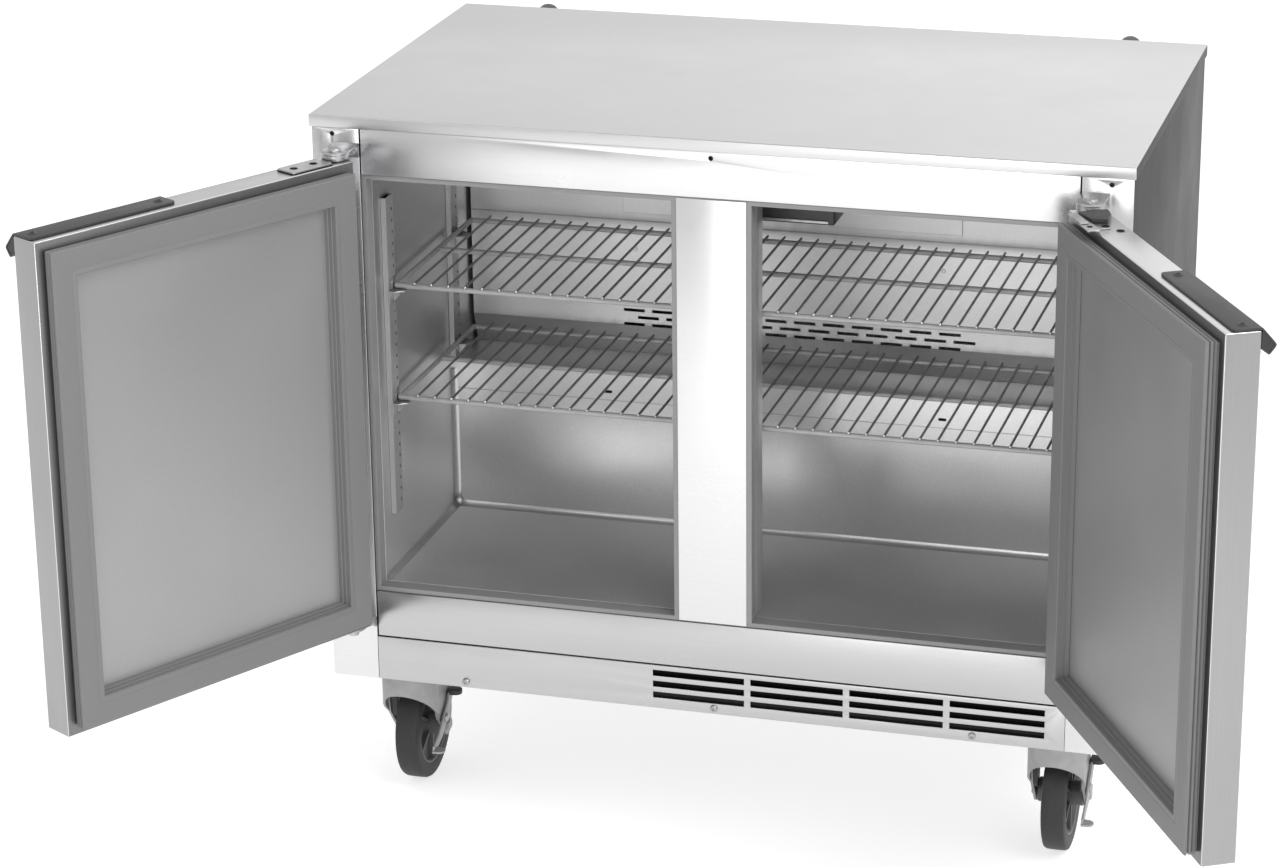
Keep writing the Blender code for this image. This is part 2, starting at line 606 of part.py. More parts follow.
def make_base(frame):
    """Kick panel with louvres, chassis pan and the condensing unit."""
    half = WIDTH / 2 - STILE_WIDTH - GAP
    outline = [(0.0, -SKIRT_DROP), (SHEET, -SKIRT_DROP), (SHEET, KICK_HEIGHT - SHEET),
               (RAIL_FLANGE, KICK_HEIGHT - SHEET), (RAIL_FLANGE, KICK_HEIGHT), (0.0, KICK_HEIGHT)]
    kick = solid("kick_panel", prism(outline, "x", -half, half), STEEL, frame)
    slots = bmesh.new()
    span = (LOUVRE_GROUPS - 1) * LOUVRE_PITCH + LOUVRE_LENGTH
    first = WIDTH / 2 - LOUVRE_RIGHT_MARGIN - span
    for group in range(LOUVRE_GROUPS):
        left = first + group * LOUVRE_PITCH
        for height in LOUVRE_ROWS:
            block((left, -0.005, height - LOUVRE_HEIGHT / 2),
                  (left + LOUVRE_LENGTH, SHEET + 0.005, height + LOUVRE_HEIGHT / 2), slots)
    combine(kick, slots, "DIFFERENCE", "louvres")

    side = WIDTH / 2 - SHEET - GAP
    front, back = RAIL_FLANGE + 0.002, DEPTH - SHEET - 0.001
    pan = solid("base_pan", block((-side, front, CHASSIS_BOTTOM), (side, back, PAN_HEIGHT)), STEEL, frame)
    floor = CHASSIS_BOTTOM + PAN_SHEET
    hollow = block((-side + PAN_SHEET, front + PAN_SHEET, floor),
                   (side - PAN_SHEET, back - PAN_SHEET, PAN_HEIGHT + 0.01))
    combine(pan, hollow, "DIFFERENCE", "hollow")
    air_path = block((-0.20, front - 0.01, 0.010), (side - 0.02, front + 0.01, 0.042))
    combine(pan, air_path, "DIFFERENCE", "air_path")

    floor += GAP
    machine_middle = (STEP_FRONT + FOAM + DEPTH) / 2
    radius, height = COMPRESSOR_RADIUS, COMPRESSOR_HEIGHT
    dome = 0.030
    outline = [(0.0, 0.0), (radius * 0.6, 0.0), (radius, dome)]
    outline += [(radius + 0.004, height / 2 - 0.003), (radius + 0.004, height / 2 + 0.003)]
    outline += [(radius, height - dome), (radius * 0.6, height - 0.008), (0.0, height)]
    solid("compressor", turned(outline, "z", 20), BLACK, frame,
          (COMPRESSOR_X, machine_middle, floor), smooth=True)

    coil_front = STEP_FRONT + FOAM + 0.012
    solid("condenser_coil",
          coil_block(CONDENSER_X - CONDENSER_WIDTH / 2, CONDENSER_X + CONDENSER_WIDTH / 2, coil_front,
                     CONDENSER_DEPTH, floor, CONDENSER_HEIGHT), COPPER, frame)
    fan_y = coil_front + CONDENSER_DEPTH + 0.012
    fan_z = floor + CONDENSER_HEIGHT / 2
    solid("condenser_fan", fan_mesh(CONDENSER_FAN_RADIUS), BLACK, frame, (CONDENSER_X, fan_y, fan_z))
    solid("condenser_fan_motor", motor_mesh(), BLACK, frame,
          (CONDENSER_X, fan_y + FAN_THICKNESS + FAN_PITCH_RISE + 0.002, fan_z), smooth=True)


def make_door(label, side, frame):
    """One door in its closed shape, hung from an empty on the hinge axis."""
    hinge = empty(f"door_{label}_hinge", (side * HINGE_X, -HINGE_FROM_FRONT, 0.0), frame, side * DOOR_ANGLE)
    inward = -side

    def span(near, far):
        return sorted((inward * near, inward * far))

    low_x, high_x = span(-HINGE_FROM_EDGE, FREE_EDGE)
    pan = solid(f"door_pan_{label}",
                block((low_x, PAN_OUTER, DOOR_BOTTOM), (high_x, PAN_INNER, DOOR_TOP)), STEEL, hinge)
    hollow = block((low_x + SHEET, PAN_OUTER + SHEET, DOOR_BOTTOM + SHEET),
                   (high_x - SHEET, PAN_INNER - SHEET, DOOR_TOP - SHEET))
    combine(pan, hollow, "DIFFERENCE", "hollow")
    opening = block((low_x + PAN_FLANGE, PAN_INNER - 2 * SHEET, DOOR_BOTTOM + PAN_FLANGE),
                    (high_x - PAN_FLANGE, PAN_INNER + 0.01, DOOR_TOP - PAN_FLANGE))
    combine(pan, opening, "DIFFERENCE", "opening")
    for place, level in (("top", DOOR_TOP), ("bottom", DOOR_BOTTOM)):
        hole = rod(PIN_RADIUS + PIN_CLEARANCE, level - 0.005, level + 0.005)
        combine(pan, hole, "DIFFERENCE", f"{place}_pin_hole")

    inset = PAN_FLANGE + GAP
    solid(f"door_panel_{label}",
          block((low_x + inset, PAN_INNER - SHEET, DOOR_BOTTOM + inset),
                (high_x - inset, PAN_INNER, DOOR_TOP - inset)), PANEL, hinge)

    centre = ((low_x + high_x) / 2, (DOOR_BOTTOM + DOOR_TOP) / 2)
    half = (DOOR_WIDTH / 2, (DOOR_TOP - DOOR_BOTTOM) / 2)
    face = PAN_INNER + GASKET_DEPTH - GAP
    foot = PAN_INNER + GAP
    profile = ((GASKET_INSET, foot), (GASKET_INSET, face), (GASKET_INSET + GASKET_FACE, face),
               (GASKET_INSET + GASKET_FACE + GASKET_BEVEL, foot))
    solid(f"door_gasket_{label}", rectangle_ring(bmesh.new(), centre, half, profile), GREY, hinge)

    top = DOOR_TOP + GAP
    inner = PAN_OUTER + HANDLE_PLATE
    sheet = HANDLE_SHEET
    outline = [(inner, top), (inner, top + sheet), (PAN_OUTER - sheet / 2, top + sheet),
               (PAN_OUTER - HANDLE_LIP_OUT, top + sheet - HANDLE_LIP_DROP),
               (PAN_OUTER - HANDLE_LIP_OUT, top - HANDLE_LIP_DROP - sheet / 2),
               (PAN_OUTER - HANDLE_LIP_OUT + sheet, top - HANDLE_LIP_DROP - sheet / 2),
               (PAN_OUTER - sheet, top - sheet / 2), (PAN_OUTER - sheet / 2, top)]
    handle_ends = span(FREE_EDGE - HANDLE_END_GAP - HANDLE_LENGTH, FREE_EDGE - HANDLE_END_GAP)
    solid(f"door_handle_{label}", prism(outline, "x", *handle_ends), BLACK, hinge)


def make_brackets(label, side, frame):
    """The two fixed hinge leaves, each with the pin that the door turns on."""
    width = BRACKET_WIDTH
    middle = WIDTH / 2 - STILE_WIDTH + width / 2
    low_x, high_x = sorted((side * (middle - width / 2), side * (middle + width / 2)))
    place = (side * HINGE_X, -HINGE_FROM_FRONT, 0.0)
    reach = min(BRACKET_REACH, HINGE_FROM_FRONT + BUSHING_RADIUS)
    sheet = BRACKET_SHEET

    leaf_low = DOOR_TOP + BRACKET_CLEARANCE
    leaf_top = leaf_low + sheet
    outline = [(-GAP, leaf_top), (-GAP, leaf_top - BRACKET_DROP), (-GAP - sheet, leaf_top - BRACKET_DROP),
               (-GAP - sheet, leaf_low), (-reach, leaf_low), (-reach, leaf_top)]
    bracket = solid(f"hinge_bracket_top_{label}", prism(outline, "x", low_x, high_x), ZINC, frame)
    pin_low, drum_low = DOOR_TOP - PIN_INSERT, leaf_low + sheet / 2
    drum_top = leaf_top + BUSHING_HEIGHT
    cap_top = drum_top + BUSHING_CAP_HEIGHT
    outline = ((0.0, pin_low), (PIN_RADIUS, pin_low), (PIN_RADIUS, drum_low), (BUSHING_RADIUS, drum_low),
               (BUSHING_RADIUS, drum_top), (BUSHING_CAP_RADIUS, drum_top),
               (BUSHING_CAP_RADIUS, cap_top), (0.0, cap_top))
    bushing = turned(outline, "z", 16)
    bmesh.ops.translate(bushing, verts=bushing.verts, vec=place)
    combine(bracket, bushing, "UNION", "bushing")

    leaf_top = DOOR_BOTTOM - BRACKET_CLEARANCE / 2
    leaf_low = leaf_top - sheet
    foot = leaf_low - BRACKET_DROP / 2
    outline = [(-GAP, leaf_low), (-GAP, foot), (-GAP - sheet, foot), (-GAP - sheet, leaf_low),
               (-reach, leaf_low), (-reach, leaf_top), (-GAP, leaf_top)]
    lower = solid(f"hinge_bracket_bottom_{label}", prism(outline, "x", low_x, high_x), ZINC, frame)
    pin = rod(PIN_RADIUS, leaf_low + sheet / 2, DOOR_BOTTOM + PIN_INSERT, centre=place)
    combine(lower, pin, "UNION", "pin")


def make_caster(label, side, middle_y, braked, frame):
    """Plate fixed under the cabinet, swivelling yoke, wheel and brake lever."""
    swivel = empty(f"caster_{label}_swivel", (side * CASTER_X, middle_y, 0.0), frame)
    plate_top = CHASSIS_BOTTOM - GAP
    plate = solid(f"caster_plate_{label}",
                  block((-PLATE_WIDTH / 2, -PLATE_FRONT, plate_top - PLATE_SHEET),
                        (PLATE_WIDTH / 2, PLATE_LENGTH - PLATE_FRONT, plate_top)), ZINC, swivel)
    race_low = plate_top - PLATE_SHEET - RACE_HEIGHT
    combine(plate, rod(RACE_RADIUS, race_low, plate_top - PLATE_SHEET / 2, steps=20), "UNION", "race")

    yoke_top = race_low - GAP
    rear = TRAIL + YOKE_EYE_RADIUS

    def plan(radius, back):
        return arc((0.0, 0.0), radius, 180, 360, 12) + [(radius, back), (-radius, back)]

    outer = prism(plan(YOKE_RADIUS, rear), "z", -AXLE_DROP - 0.02, yoke_top)
    yoke = solid(f"caster_yoke_{label}", outer, YOKE, swivel)
    space = plan(YOKE_RADIUS - YOKE_SHEET, rear + 0.01)
    inner = prism(space, "z", -AXLE_DROP - 0.03, yoke_top - YOKE_SHEET)
    combine(yoke, inner, "DIFFERENCE", "inside")
    eye = arc((TRAIL, -AXLE_DROP), YOKE_EYE_RADIUS, 225, 375, 8)
    side_view = [(-YOKE_RADIUS - 0.002, yoke_top + 0.002), (-YOKE_RADIUS - 0.002, -YOKE_FRONT_DROP)]
    side_view += eye + [(YOKE_RADIUS, yoke_top - 0.030), (YOKE_RADIUS, yoke_top + 0.002)]
    keep = prism(side_view, "x", -YOKE_RADIUS - 0.01, YOKE_RADIUS + 0.01)
    combine(yoke, keep, "INTERSECT", "side_shape")
    bolt = 0.004
    axle = rod(AXLE_RADIUS, -YOKE_RADIUS - bolt, YOKE_RADIUS + bolt, "x", 12, (0.0, TRAIL, -AXLE_DROP))
    combine(yoke, axle, "UNION", "axle")

    make_wheel(f"caster_wheel_{label}", swivel)
    if braked:
        make_lever(f"brake_lever_{label}", swivel)


def make_wheel(name, swivel):
    """Turned wheel with hub, web and tread, origin on its axle."""
    bore = AXLE_RADIUS + AXLE_CLEARANCE
    crown = 0.002
    hub, web, tread = WHEEL_HUB_WIDTH / 2, WHEEL_WEB_WIDTH / 2, WHEEL_WIDTH / 2
    half = [(bore, hub), (WHEEL_HUB_RADIUS, hub), (WHEEL_HUB_RADIUS, web), (WHEEL_WEB_RADIUS, web),
            (WHEEL_WEB_RADIUS, tread), (WHEEL_RADIUS - crown, tread), (WHEEL_RADIUS, tread - crown)]
    outline = half + [(radius, -level) for radius, level in reversed(half)]
    solid(name, turned(outline, "x", 24), RUBBER, swivel, (0.0, TRAIL, -AXLE_DROP), smooth=True)


def make_lever(name, swivel):
    """Side brake lever: a bent strip with a tab at each end, origin on its pivot."""
    start = YOKE_RADIUS + 0.005
    strip = [(-0.034, -0.032), (-0.020, -0.032), (0.006, -0.006), (0.030, 0.014), (0.034, 0.026),
             (0.020, 0.026), (0.018, 0.018), (-0.006, 0.004)]
    lever = solid(name, prism(strip, "x", start, start + LEVER_SHEET), YOKE, swivel,
                  (0.0, LEVER_PIVOT_Y, -LEVER_PIVOT_DROP))
    tabs = bmesh.new()
    for middle, level in ((0.027, 0.0245), (-0.027, -0.0305)):
        block((start + 0.001, middle - TAB_WIDTH / 2 + 0.0005, level - 0.0015),
              (start + TAB_LENGTH, middle + TAB_WIDTH / 2 - 0.0005, level + 0.0015), tabs)
    combine(lever, tabs, "UNION", "tabs")


def main():
    for old in list(bpy.data.objects):
        bpy.data.objects.remove(old, do_unlink=True)
    frame = empty("cabinet_frame", (0.0, FRONT_Y, WHOLE_HEIGHT))
    make_shell(frame)
    make_back(frame)
    make_cavity(frame)
    make_evaporator(frame)
    make_shelves(frame)
    make_control(frame)
    make_base(frame)
    for label, side in (("left", -1), ("right", 1)):
        make_door(label, side, frame)
        make_brackets(label, side, frame)
        make_caster(f"front_{label}", side, FRONT_CASTER_Y, True, frame)
        make_caster(f"rear_{label}", side, REAR_CASTER_Y, False, frame)


main()
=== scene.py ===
import math

import bmesh
import bpy
from mathutils import Matrix, Vector


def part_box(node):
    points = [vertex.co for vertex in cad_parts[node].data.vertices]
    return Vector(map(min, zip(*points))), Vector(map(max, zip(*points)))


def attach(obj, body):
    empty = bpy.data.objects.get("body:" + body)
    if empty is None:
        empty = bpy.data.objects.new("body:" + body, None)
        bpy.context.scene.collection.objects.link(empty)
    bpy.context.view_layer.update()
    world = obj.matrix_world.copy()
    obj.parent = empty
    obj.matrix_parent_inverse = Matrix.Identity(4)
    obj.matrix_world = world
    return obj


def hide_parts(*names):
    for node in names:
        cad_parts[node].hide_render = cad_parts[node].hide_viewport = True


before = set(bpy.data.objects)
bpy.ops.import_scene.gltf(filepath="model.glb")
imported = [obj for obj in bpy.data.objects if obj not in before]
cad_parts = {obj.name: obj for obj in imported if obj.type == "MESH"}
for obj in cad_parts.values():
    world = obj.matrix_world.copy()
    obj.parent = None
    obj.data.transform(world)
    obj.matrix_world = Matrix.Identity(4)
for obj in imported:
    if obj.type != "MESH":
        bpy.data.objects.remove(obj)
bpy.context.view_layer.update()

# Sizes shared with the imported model, in metres
WIDTH = 0.8636
DEPTH = 0.5130
BODY_HEIGHT = 0.6220
STILE = 0.0520
OPENING = (0.1018, 0.5725)
CAVITY_HALF = 0.3743
CAVITY_FLOOR = 0.1073
STEP_FRONT = 0.2600
STEP_TOP = 0.2810
COVER_FRONT = 0.3280
DOOR_ANGLE = math.radians(119.6)
DOOR_WIDTH = 0.4019
DOOR_Z = (0.0750, 0.5970)
HINGE_X = 0.3943
HINGE_OUT = 0.0340
HINGE_EDGE = 0.0091
FREE_EDGE = DOOR_WIDTH - HINGE_EDGE
PAN_Y = (-0.0152, 0.0194)
CASTER_X = 0.3638
CASTER_Y = {"front": 0.0547, "rear": 0.4300}
AXLE = (0.0400, -0.0930)
SHELVES = {"upper": 0.4410, "lower": 0.3140}
SHELF_END = 0.3660
SHELF_Y = (0.0510, 0.1900, 0.3090)
PILASTERS = {"front": (0.0530, 0.1770), "rear": (0.2620, 0.2850)}
PILASTER_TOP = 0.5350
TOP_LAP = 0.0020
SCREW_HOLE = 0.0042
LEAF_SHEET = 0.0025
SIDES = (("left", -1), ("right", 1))

shell_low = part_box("side_panel_left")[0]
CABINET = Matrix.Translation((0.0, shell_low[1], shell_low[2] + 0.0020))


# ---------------- finishes

def group(name, outs):
    """An empty shader node group: a vector and a size go in, named numbers come out."""
    made = bpy.data.node_groups.new(name, "ShaderNodeTree")
    made.interface.new_socket("Vector", in_out="INPUT", socket_type="NodeSocketVector")
    made.interface.new_socket("Size", in_out="INPUT", socket_type="NodeSocketFloat")
    for label in outs:
        made.interface.new_socket(label, in_out="OUTPUT", socket_type="NodeSocketFloat")
    return made, made.nodes.new("NodeGroupInput"), made.nodes.new("NodeGroupOutput")


def fine_lines():
    """Rolled or brushed lines: a stretched vector goes in, tone and height come out."""
    made, start, end = group("fine_lines", ("Tone", "Height"))
    coarse = made.nodes.new("ShaderNodeTexNoise")
    fine = made.nodes.new("ShaderNodeTexNoise")
    finer = made.nodes.new("ShaderNodeMath")
    finer.operation = "MULTIPLY"
    finer.inputs[1].default_value = 3.7
    both = made.nodes.new("ShaderNodeMath")
    both.operation = "ADD"
    half = made.nodes.new("ShaderNodeMath")
    half.operation = "MULTIPLY"
    half.inputs[1].default_value = 0.5
    for noise, detail in ((coarse, 2.0), (fine, 3.0)):
        noise.inputs["Detail"].default_value = detail
        noise.inputs["Roughness"].default_value = 0.6
    link = made.links.new
    link(start.outputs["Vector"], coarse.inputs["Vector"])
    link(start.outputs["Vector"], fine.inputs["Vector"])
    link(start.outputs["Size"], coarse.inputs["Scale"])
    link(start.outputs["Size"], finer.inputs[0])
    link(finer.outputs[0], fine.inputs["Scale"])
    link(coarse.outputs["Fac"], both.inputs[0])
    link(fine.outputs["Fac"], both.inputs[1])
    link(both.outputs[0], half.inputs[0])
    link(half.outputs[0], end.inputs["Tone"])
    link(fine.outputs["Fac"], end.inputs["Height"])
    return made


def blotches():
    """Large soft patches: handling marks, uneven sheen, faint staining."""
    made, start, end = group("blotches", ("Mask", "Height"))
    noise = made.nodes.new("ShaderNodeTexNoise")
    noise.inputs["Detail"].default_value = 5.0
    noise.inputs["Roughness"].default_value = 0.55
    spread = made.nodes.new("ShaderNodeMapRange")
    spread.inputs["From Min"].default_value = 0.32
    spread.inputs["From Max"].default_value = 0.68
    made.links.new(start.outputs["Vector"], noise.inputs["Vector"])
    made.links.new(start.outputs["Size"], noise.inputs["Scale"])
    made.links.new(noise.outputs["Fac"], spread.inputs["Value"])
    made.links.new(spread.outputs["Result"], end.inputs["Mask"])
    made.links.new(noise.outputs["Fac"], end.inputs["Height"])
    return made


def speckle():
    """Small crystals, as on a dull rolled or embossed sheet."""
    made, start, end = group("speckle", ("Mask", "Height"))
    cells = made.nodes.new("ShaderNodeTexVoronoi")
    noise = made.nodes.new("ShaderNodeTexNoise")
    noise.inputs["Detail"].default_value = 4.0
    blend = made.nodes.new("ShaderNodeMath")
    blend.operation = "MULTIPLY"
    link = made.links.new
    link(start.outputs["Vector"], cells.inputs["Vector"])
    link(start.outputs["Vector"], noise.inputs["Vector"])
    link(start.outputs["Size"], cells.inputs["Scale"])
    link(start.outputs["Size"], noise.inputs["Scale"])
    link(cells.outputs["Distance"], blend.inputs[0])
    link(noise.outputs["Fac"], blend.inputs[1])
    link(blend.outputs[0], end.inputs["Mask"])
    link(noise.outputs["Fac"], end.inputs["Height"])
    return made


LINES, BLOTCHES, SPECKLE = fine_lines(), blotches(), speckle()
ALONG_X = (0.012, 1.0, 1.0)
ALONG_Z = (1.0, 1.0, 0.012)
EVEN = (1.0, 1.0, 1.0)
PATCH_SIZE = 7.0
PATCH_ROUGH = 0.06


def finish(name, light, dark, rough, metallic, pattern, stretch=EVEN, size=300.0, bump=0.05,
           coat=0.0, specular=0.5):
    """A surface with two tones, a fine pattern with bump, and soft uneven roughness."""
    made = bpy.data.materials.new(name)
    made.use_nodes = True
    nodes, link = made.node_tree.nodes, made.node_tree.links.new
    shader = nodes["Principled BSDF"]
    shader.inputs["Metallic"].default_value = metallic
    shader.inputs["Coat Weight"].default_value = coat
    shader.inputs["Specular IOR Level"].default_value = specular
    place = nodes.new("ShaderNodeTexCoord")
    mapping = nodes.new("ShaderNodeMapping")
    mapping.inputs["Scale"].default_value = stretch
    link(place.outputs["Object"], mapping.inputs["Vector"])
    grain = nodes.new("ShaderNodeGroup")
    grain.node_tree = pattern
    grain.inputs["Size"].default_value = size
    link(mapping.outputs["Vector"], grain.inputs["Vector"])
    uneven = nodes.new("ShaderNodeGroup")
    uneven.node_tree = BLOTCHES
    uneven.inputs["Size"].default_value = PATCH_SIZE
    link(place.outputs["Object"], uneven.inputs["Vector"])
    tone = nodes.new("ShaderNodeMix")
    tone.data_type = "RGBA"
    tone.inputs[6].default_value = (*dark, 1.0)
    tone.inputs[7].default_value = (*light, 1.0)
    link(grain.outputs[0], tone.inputs[0])
    link(tone.outputs[2], shader.inputs["Base Color"])
    sheen = nodes.new("ShaderNodeMapRange")
    sheen.inputs["To Min"].default_value = rough - PATCH_ROUGH
    sheen.inputs["To Max"].default_value = rough + PATCH_ROUGH
    link(uneven.outputs["Mask"], sheen.inputs["Value"])
    link(sheen.outputs["Result"], shader.inputs["Roughness"])
    relief = nodes.new("ShaderNodeBump")
    relief.inputs["Strength"].default_value = bump
    relief.inputs["Distance"].default_value = 0.0005
    link(grain.outputs["Height"], relief.inputs["Height"])
    link(relief.outputs["Normal"], shader.inputs["Normal"])
    return made


def grey(level):
    return (level, level, level * 1.01)


BRUSHED = finish("brushed_steel_across", grey(0.76), grey(0.68), 0.30, 1.0, LINES, ALONG_X, 500.0, 0.06)
UPRIGHT = finish("brushed_steel_upright", grey(0.70), grey(0.60), 0.30, 1.0, LINES, ALONG_Z, 500.0, 0.06)
# Painted shade: a darker copy of the brushed steel for the kick panel and bottom rail, standing in for the
# dimmer reflections low on the front.
LOWER_FRONT_SHADED = finish("brushed_steel_lower_painted_shade", grey(0.54), grey(0.47), 0.32, 1.0, LINES, ALONG_X, 500.0, 0.06)
# Painted shade: a darker copy of the upright steel for the doors' upright end faces, which catch less light.
DOOR_END_SHADED = finish("door_end_steel_painted_shade", grey(0.38), grey(0.32), 0.34, 1.0, LINES, ALONG_Z, 500.0, 0.06)
# Painted shade and reflection: a near-black copy of the steel for the narrow flange between the door's edge
# and its gasket.
FLANGE_PAINTED_SHADE = finish("door_flange_steel_painted_shade", grey(0.24), grey(0.18), 0.36, 1.0, LINES, ALONG_Z, 500.0, 0.05)
TOP_SHEET = finish("worktop_steel", grey(0.62), grey(0.54), 0.34, 1.0, LINES, ALONG_X, 500.0, 0.06)
# Painted shade: a near-black copy of the steel for the upright side faces, standing in for the dark
# reflections they show.
SIDE_PAINTED_SHADE = finish("side_steel_painted_shade", grey(0.048), grey(0.040), 0.50, 0.1, LINES, ALONG_Z, 400.0, 0.05,
                    specular=0.12)
LINER_SHEET = finish("liner_steel", grey(0.66), grey(0.56), 0.36, 0.85, SPECKLE, EVEN, 420.0, 0.06)
COVER_SHEET = finish("evaporator_cover_steel", grey(0.64), grey(0.56), 0.36, 0.85, SPECKLE, EVEN, 420.0, 0.05)
PILASTER_SHEET = finish("pilaster_steel", grey(0.42), grey(0.36), 0.45, 0.6, LINES, ALONG_Z, 300.0, 0.05)
GALVANISED = finish("galvanised_sheet", grey(0.50), grey(0.34), 0.42, 1.0, SPECKLE, EVEN, 160.0, 0.10)
ZINC = finish("zinc_plate", grey(0.46), grey(0.36), 0.34, 0.9, BLOTCHES, EVEN, 90.0, 0.03)
YOKE_STEEL = finish("yoke_steel", grey(0.36), grey(0.30), 0.45, 0.5, BLOTCHES, EVEN, 60.0, 0.03)
ROD_STEEL = finish("shelf_rod", grey(0.40), grey(0.34), 0.48, 0.3, BLOTCHES, EVEN, 60.0, 0.03)
# Painted highlight: the cut ends of the shelf wires are far lighter than the wires, standing in for the bright
# glints on them.
WIRE_TIP_HIGHLIGHT = finish("shelf_wire_end_painted_highlight", grey(0.72), grey(0.60), 0.30, 0.8, BLOTCHES, EVEN, 60.0, 0.03)
WIRE_CHROME = finish("shelf_wire", grey(0.20), grey(0.14), 0.38, 0.6, BLOTCHES, EVEN, 60.0, 0.03)
GASKET = finish("gasket_vinyl", grey(0.180), grey(0.165), 0.55, 0.0, SPECKLE, EVEN, 500.0, 0.03)
STRIP = finish("breaker_vinyl", grey(0.26), grey(0.22), 0.42, 0.0, LINES, ALONG_X, 300.0, 0.04)
PANEL = finish("door_panel_sheet", grey(0.37), grey(0.34), 0.40, 0.6, SPECKLE, EVEN, 500.0, 0.02)
HANDLE_BLACK = finish("handle_coating", grey(0.040), grey(0.026), 0.48, 0.0, SPECKLE, EVEN, 900.0, 0.10)
BLACK = finish("black_moulding", grey(0.030), grey(0.016), 0.45, 0.0, SPECKLE, EVEN, 700.0, 0.10)
ENAMEL = finish("black_enamel", grey(0.035), grey(0.020), 0.30, 0.0, BLOTCHES, EVEN, 40.0, 0.05, coat=0.4)
BUMPER_RUBBER = finish("bumper_rubber", grey(0.050), grey(0.035), 0.55, 0.0, SPECKLE, EVEN, 500.0, 0.08)
TREAD = finish("wheel_tread", grey(0.030), grey(0.018), 0.60, 0.0, SPECKLE, EVEN, 300.0, 0.12)
WHEEL_CORE = finish("wheel_core", grey(0.110), grey(0.085), 0.50, 0.0, SPECKLE, EVEN, 400.0, 0.06)
FINS = finish("fin_stock", grey(0.70), grey(0.55), 0.35, 1.0, LINES, ALONG_Z, 200.0, 0.06)
FOAM = finish("foam", (0.78, 0.68, 0.42), (0.62, 0.52, 0.30), 0.85, 0.0, SPECKLE, EVEN, 200.0, 0.3)
# Painted light and shade: the door tops are one steel, in a darker copy for the left door and a lighter copy
# for the right, by how the light falls on each.
DOOR_TOPS_LIT_AND_SHADED = {
    "left": finish("door_top_steel_left_painted_shade", grey(0.54), grey(0.44), 0.34, 1.0, LINES, ALONG_X, 500.0, 0.05),
    "right": finish("door_top_steel_right_painted_light", grey(0.68), grey(0.60), 0.34, 1.0, LINES, ALONG_X, 500.0, 0.05)}
DARK = finish("shadow_gap", grey(0.012), grey(0.006), 0.70, 0.0, SPECKLE, EVEN, 300.0, 0.05, specular=0.1)


# ---------------- mesh tools

def block(bm, low, high):
    """A box between two corners."""
    low, high = Vector(low), Vector(high)
    place = Matrix.Translation((low + high) / 2) @ Matrix.Diagonal((*(high - low), 1.0))
    return bmesh.ops.create_cube(bm, size=1.0, matrix=place)["verts"]


def bar(bm, start, end, radius, sides=10, tip=None):
    """A round bar from one point to another, tapered if tip is given."""
    start, end = Vector(start), Vector(end)
    along = end - start
    place = Matrix.Translation((start + end) / 2) @ along.to_track_quat("Z", "Y").to_matrix().to_4x4()
    bmesh.ops.create_cone(bm, cap_ends=True, segments=sides, radius1=radius,
                          radius2=radius if tip is None else tip, depth=along.length, matrix=place)


def bent_bar(bm, points, radius, sides=10):
    """Round bars end to end, with a ball at each bend."""
    for start, end in zip(points, points[1:]):
        bar(bm, start, end, radius, sides)
    for point in points[1:-1]:
        bmesh.ops.create_uvsphere(bm, u_segments=sides, v_segments=6, radius=radius,
                                  matrix=Matrix.Translation(point))


def spun(bm, profile, axis="z", centre=(0.0, 0.0, 0.0), steps=32):
    """An outline of (radius, height) points turned round an axis."""
    ring = [bm.verts.new((radius, 0.0, height)) for radius, height in profile]
    edges = [bm.edges.new(pair) for pair in zip(ring, ring[1:])]
    if profile[0][0] > 0.0:
        edges.append(bm.edges.new((ring[-1], ring[0])))
    bmesh.ops.spin(bm, geom=ring + edges, axis=(0, 0, 1), cent=(0, 0, 0), dvec=(0, 0, 0),
                   angle=math.tau, steps=steps, use_merge=True, use_duplicate=False)
    seen = {vert for vert in ring if vert.is_valid}
    stack = list(seen)
    while stack:
        for edge in stack.pop().link_edges:
            for vert in edge.verts:
                if vert not in seen:
                    seen.add(vert)
                    stack.append(vert)
    verts = list(seen)
    bmesh.ops.remove_doubles(bm, verts=verts, dist=1e-6)
    verts = [vert for vert in verts if vert.is_valid]
    turn = {"z": Matrix.Identity(4), "y": Matrix.Rotation(-math.pi / 2, 4, "X"),
            "-y": Matrix.Rotation(math.pi / 2, 4, "X"), "x": Matrix.Rotation(math.pi / 2, 4, "Y")}[axis]
    bmesh.ops.transform(bm, matrix=Matrix.Translation(centre) @ turn, verts=verts)


def slab(bm, outline, axis, start, end):
    """An outline, given in the other two axes, drawn out along one axis."""
    order = {"x": (2, 0, 1), "y": (0, 2, 1), "z": (0, 1, 2)}[axis]
    corners = [bm.verts.new([(first, second, start)[i] for i in order]) for first, second in outline]
    face = bm.faces.new(corners)
    grown = bmesh.ops.extrude_face_region(bm, geom=[face])["geom"]
    moved = [item for item in grown if isinstance(item, bmesh.types.BMVert)]
    bmesh.ops.translate(bm, verts=moved, vec=[(0.0, 0.0, end - start)[i] for i in order])


def soften(bm, width, segments=2, angle=30.0):
    """Round the sharp outer edges."""
    bmesh.ops.recalc_face_normals(bm, faces=bm.faces)
    limit = math.radians(angle)
    sharp = [edge for edge in bm.edges if edge.is_manifold and edge.calc_face_angle_signed(0.0) > limit]
    bmesh.ops.bevel(bm, geom=sharp, offset=width, offset_type="OFFSET", segments=segments, profile=0.5,
                    affect="EDGES", clamp_overlap=True, material=-1)


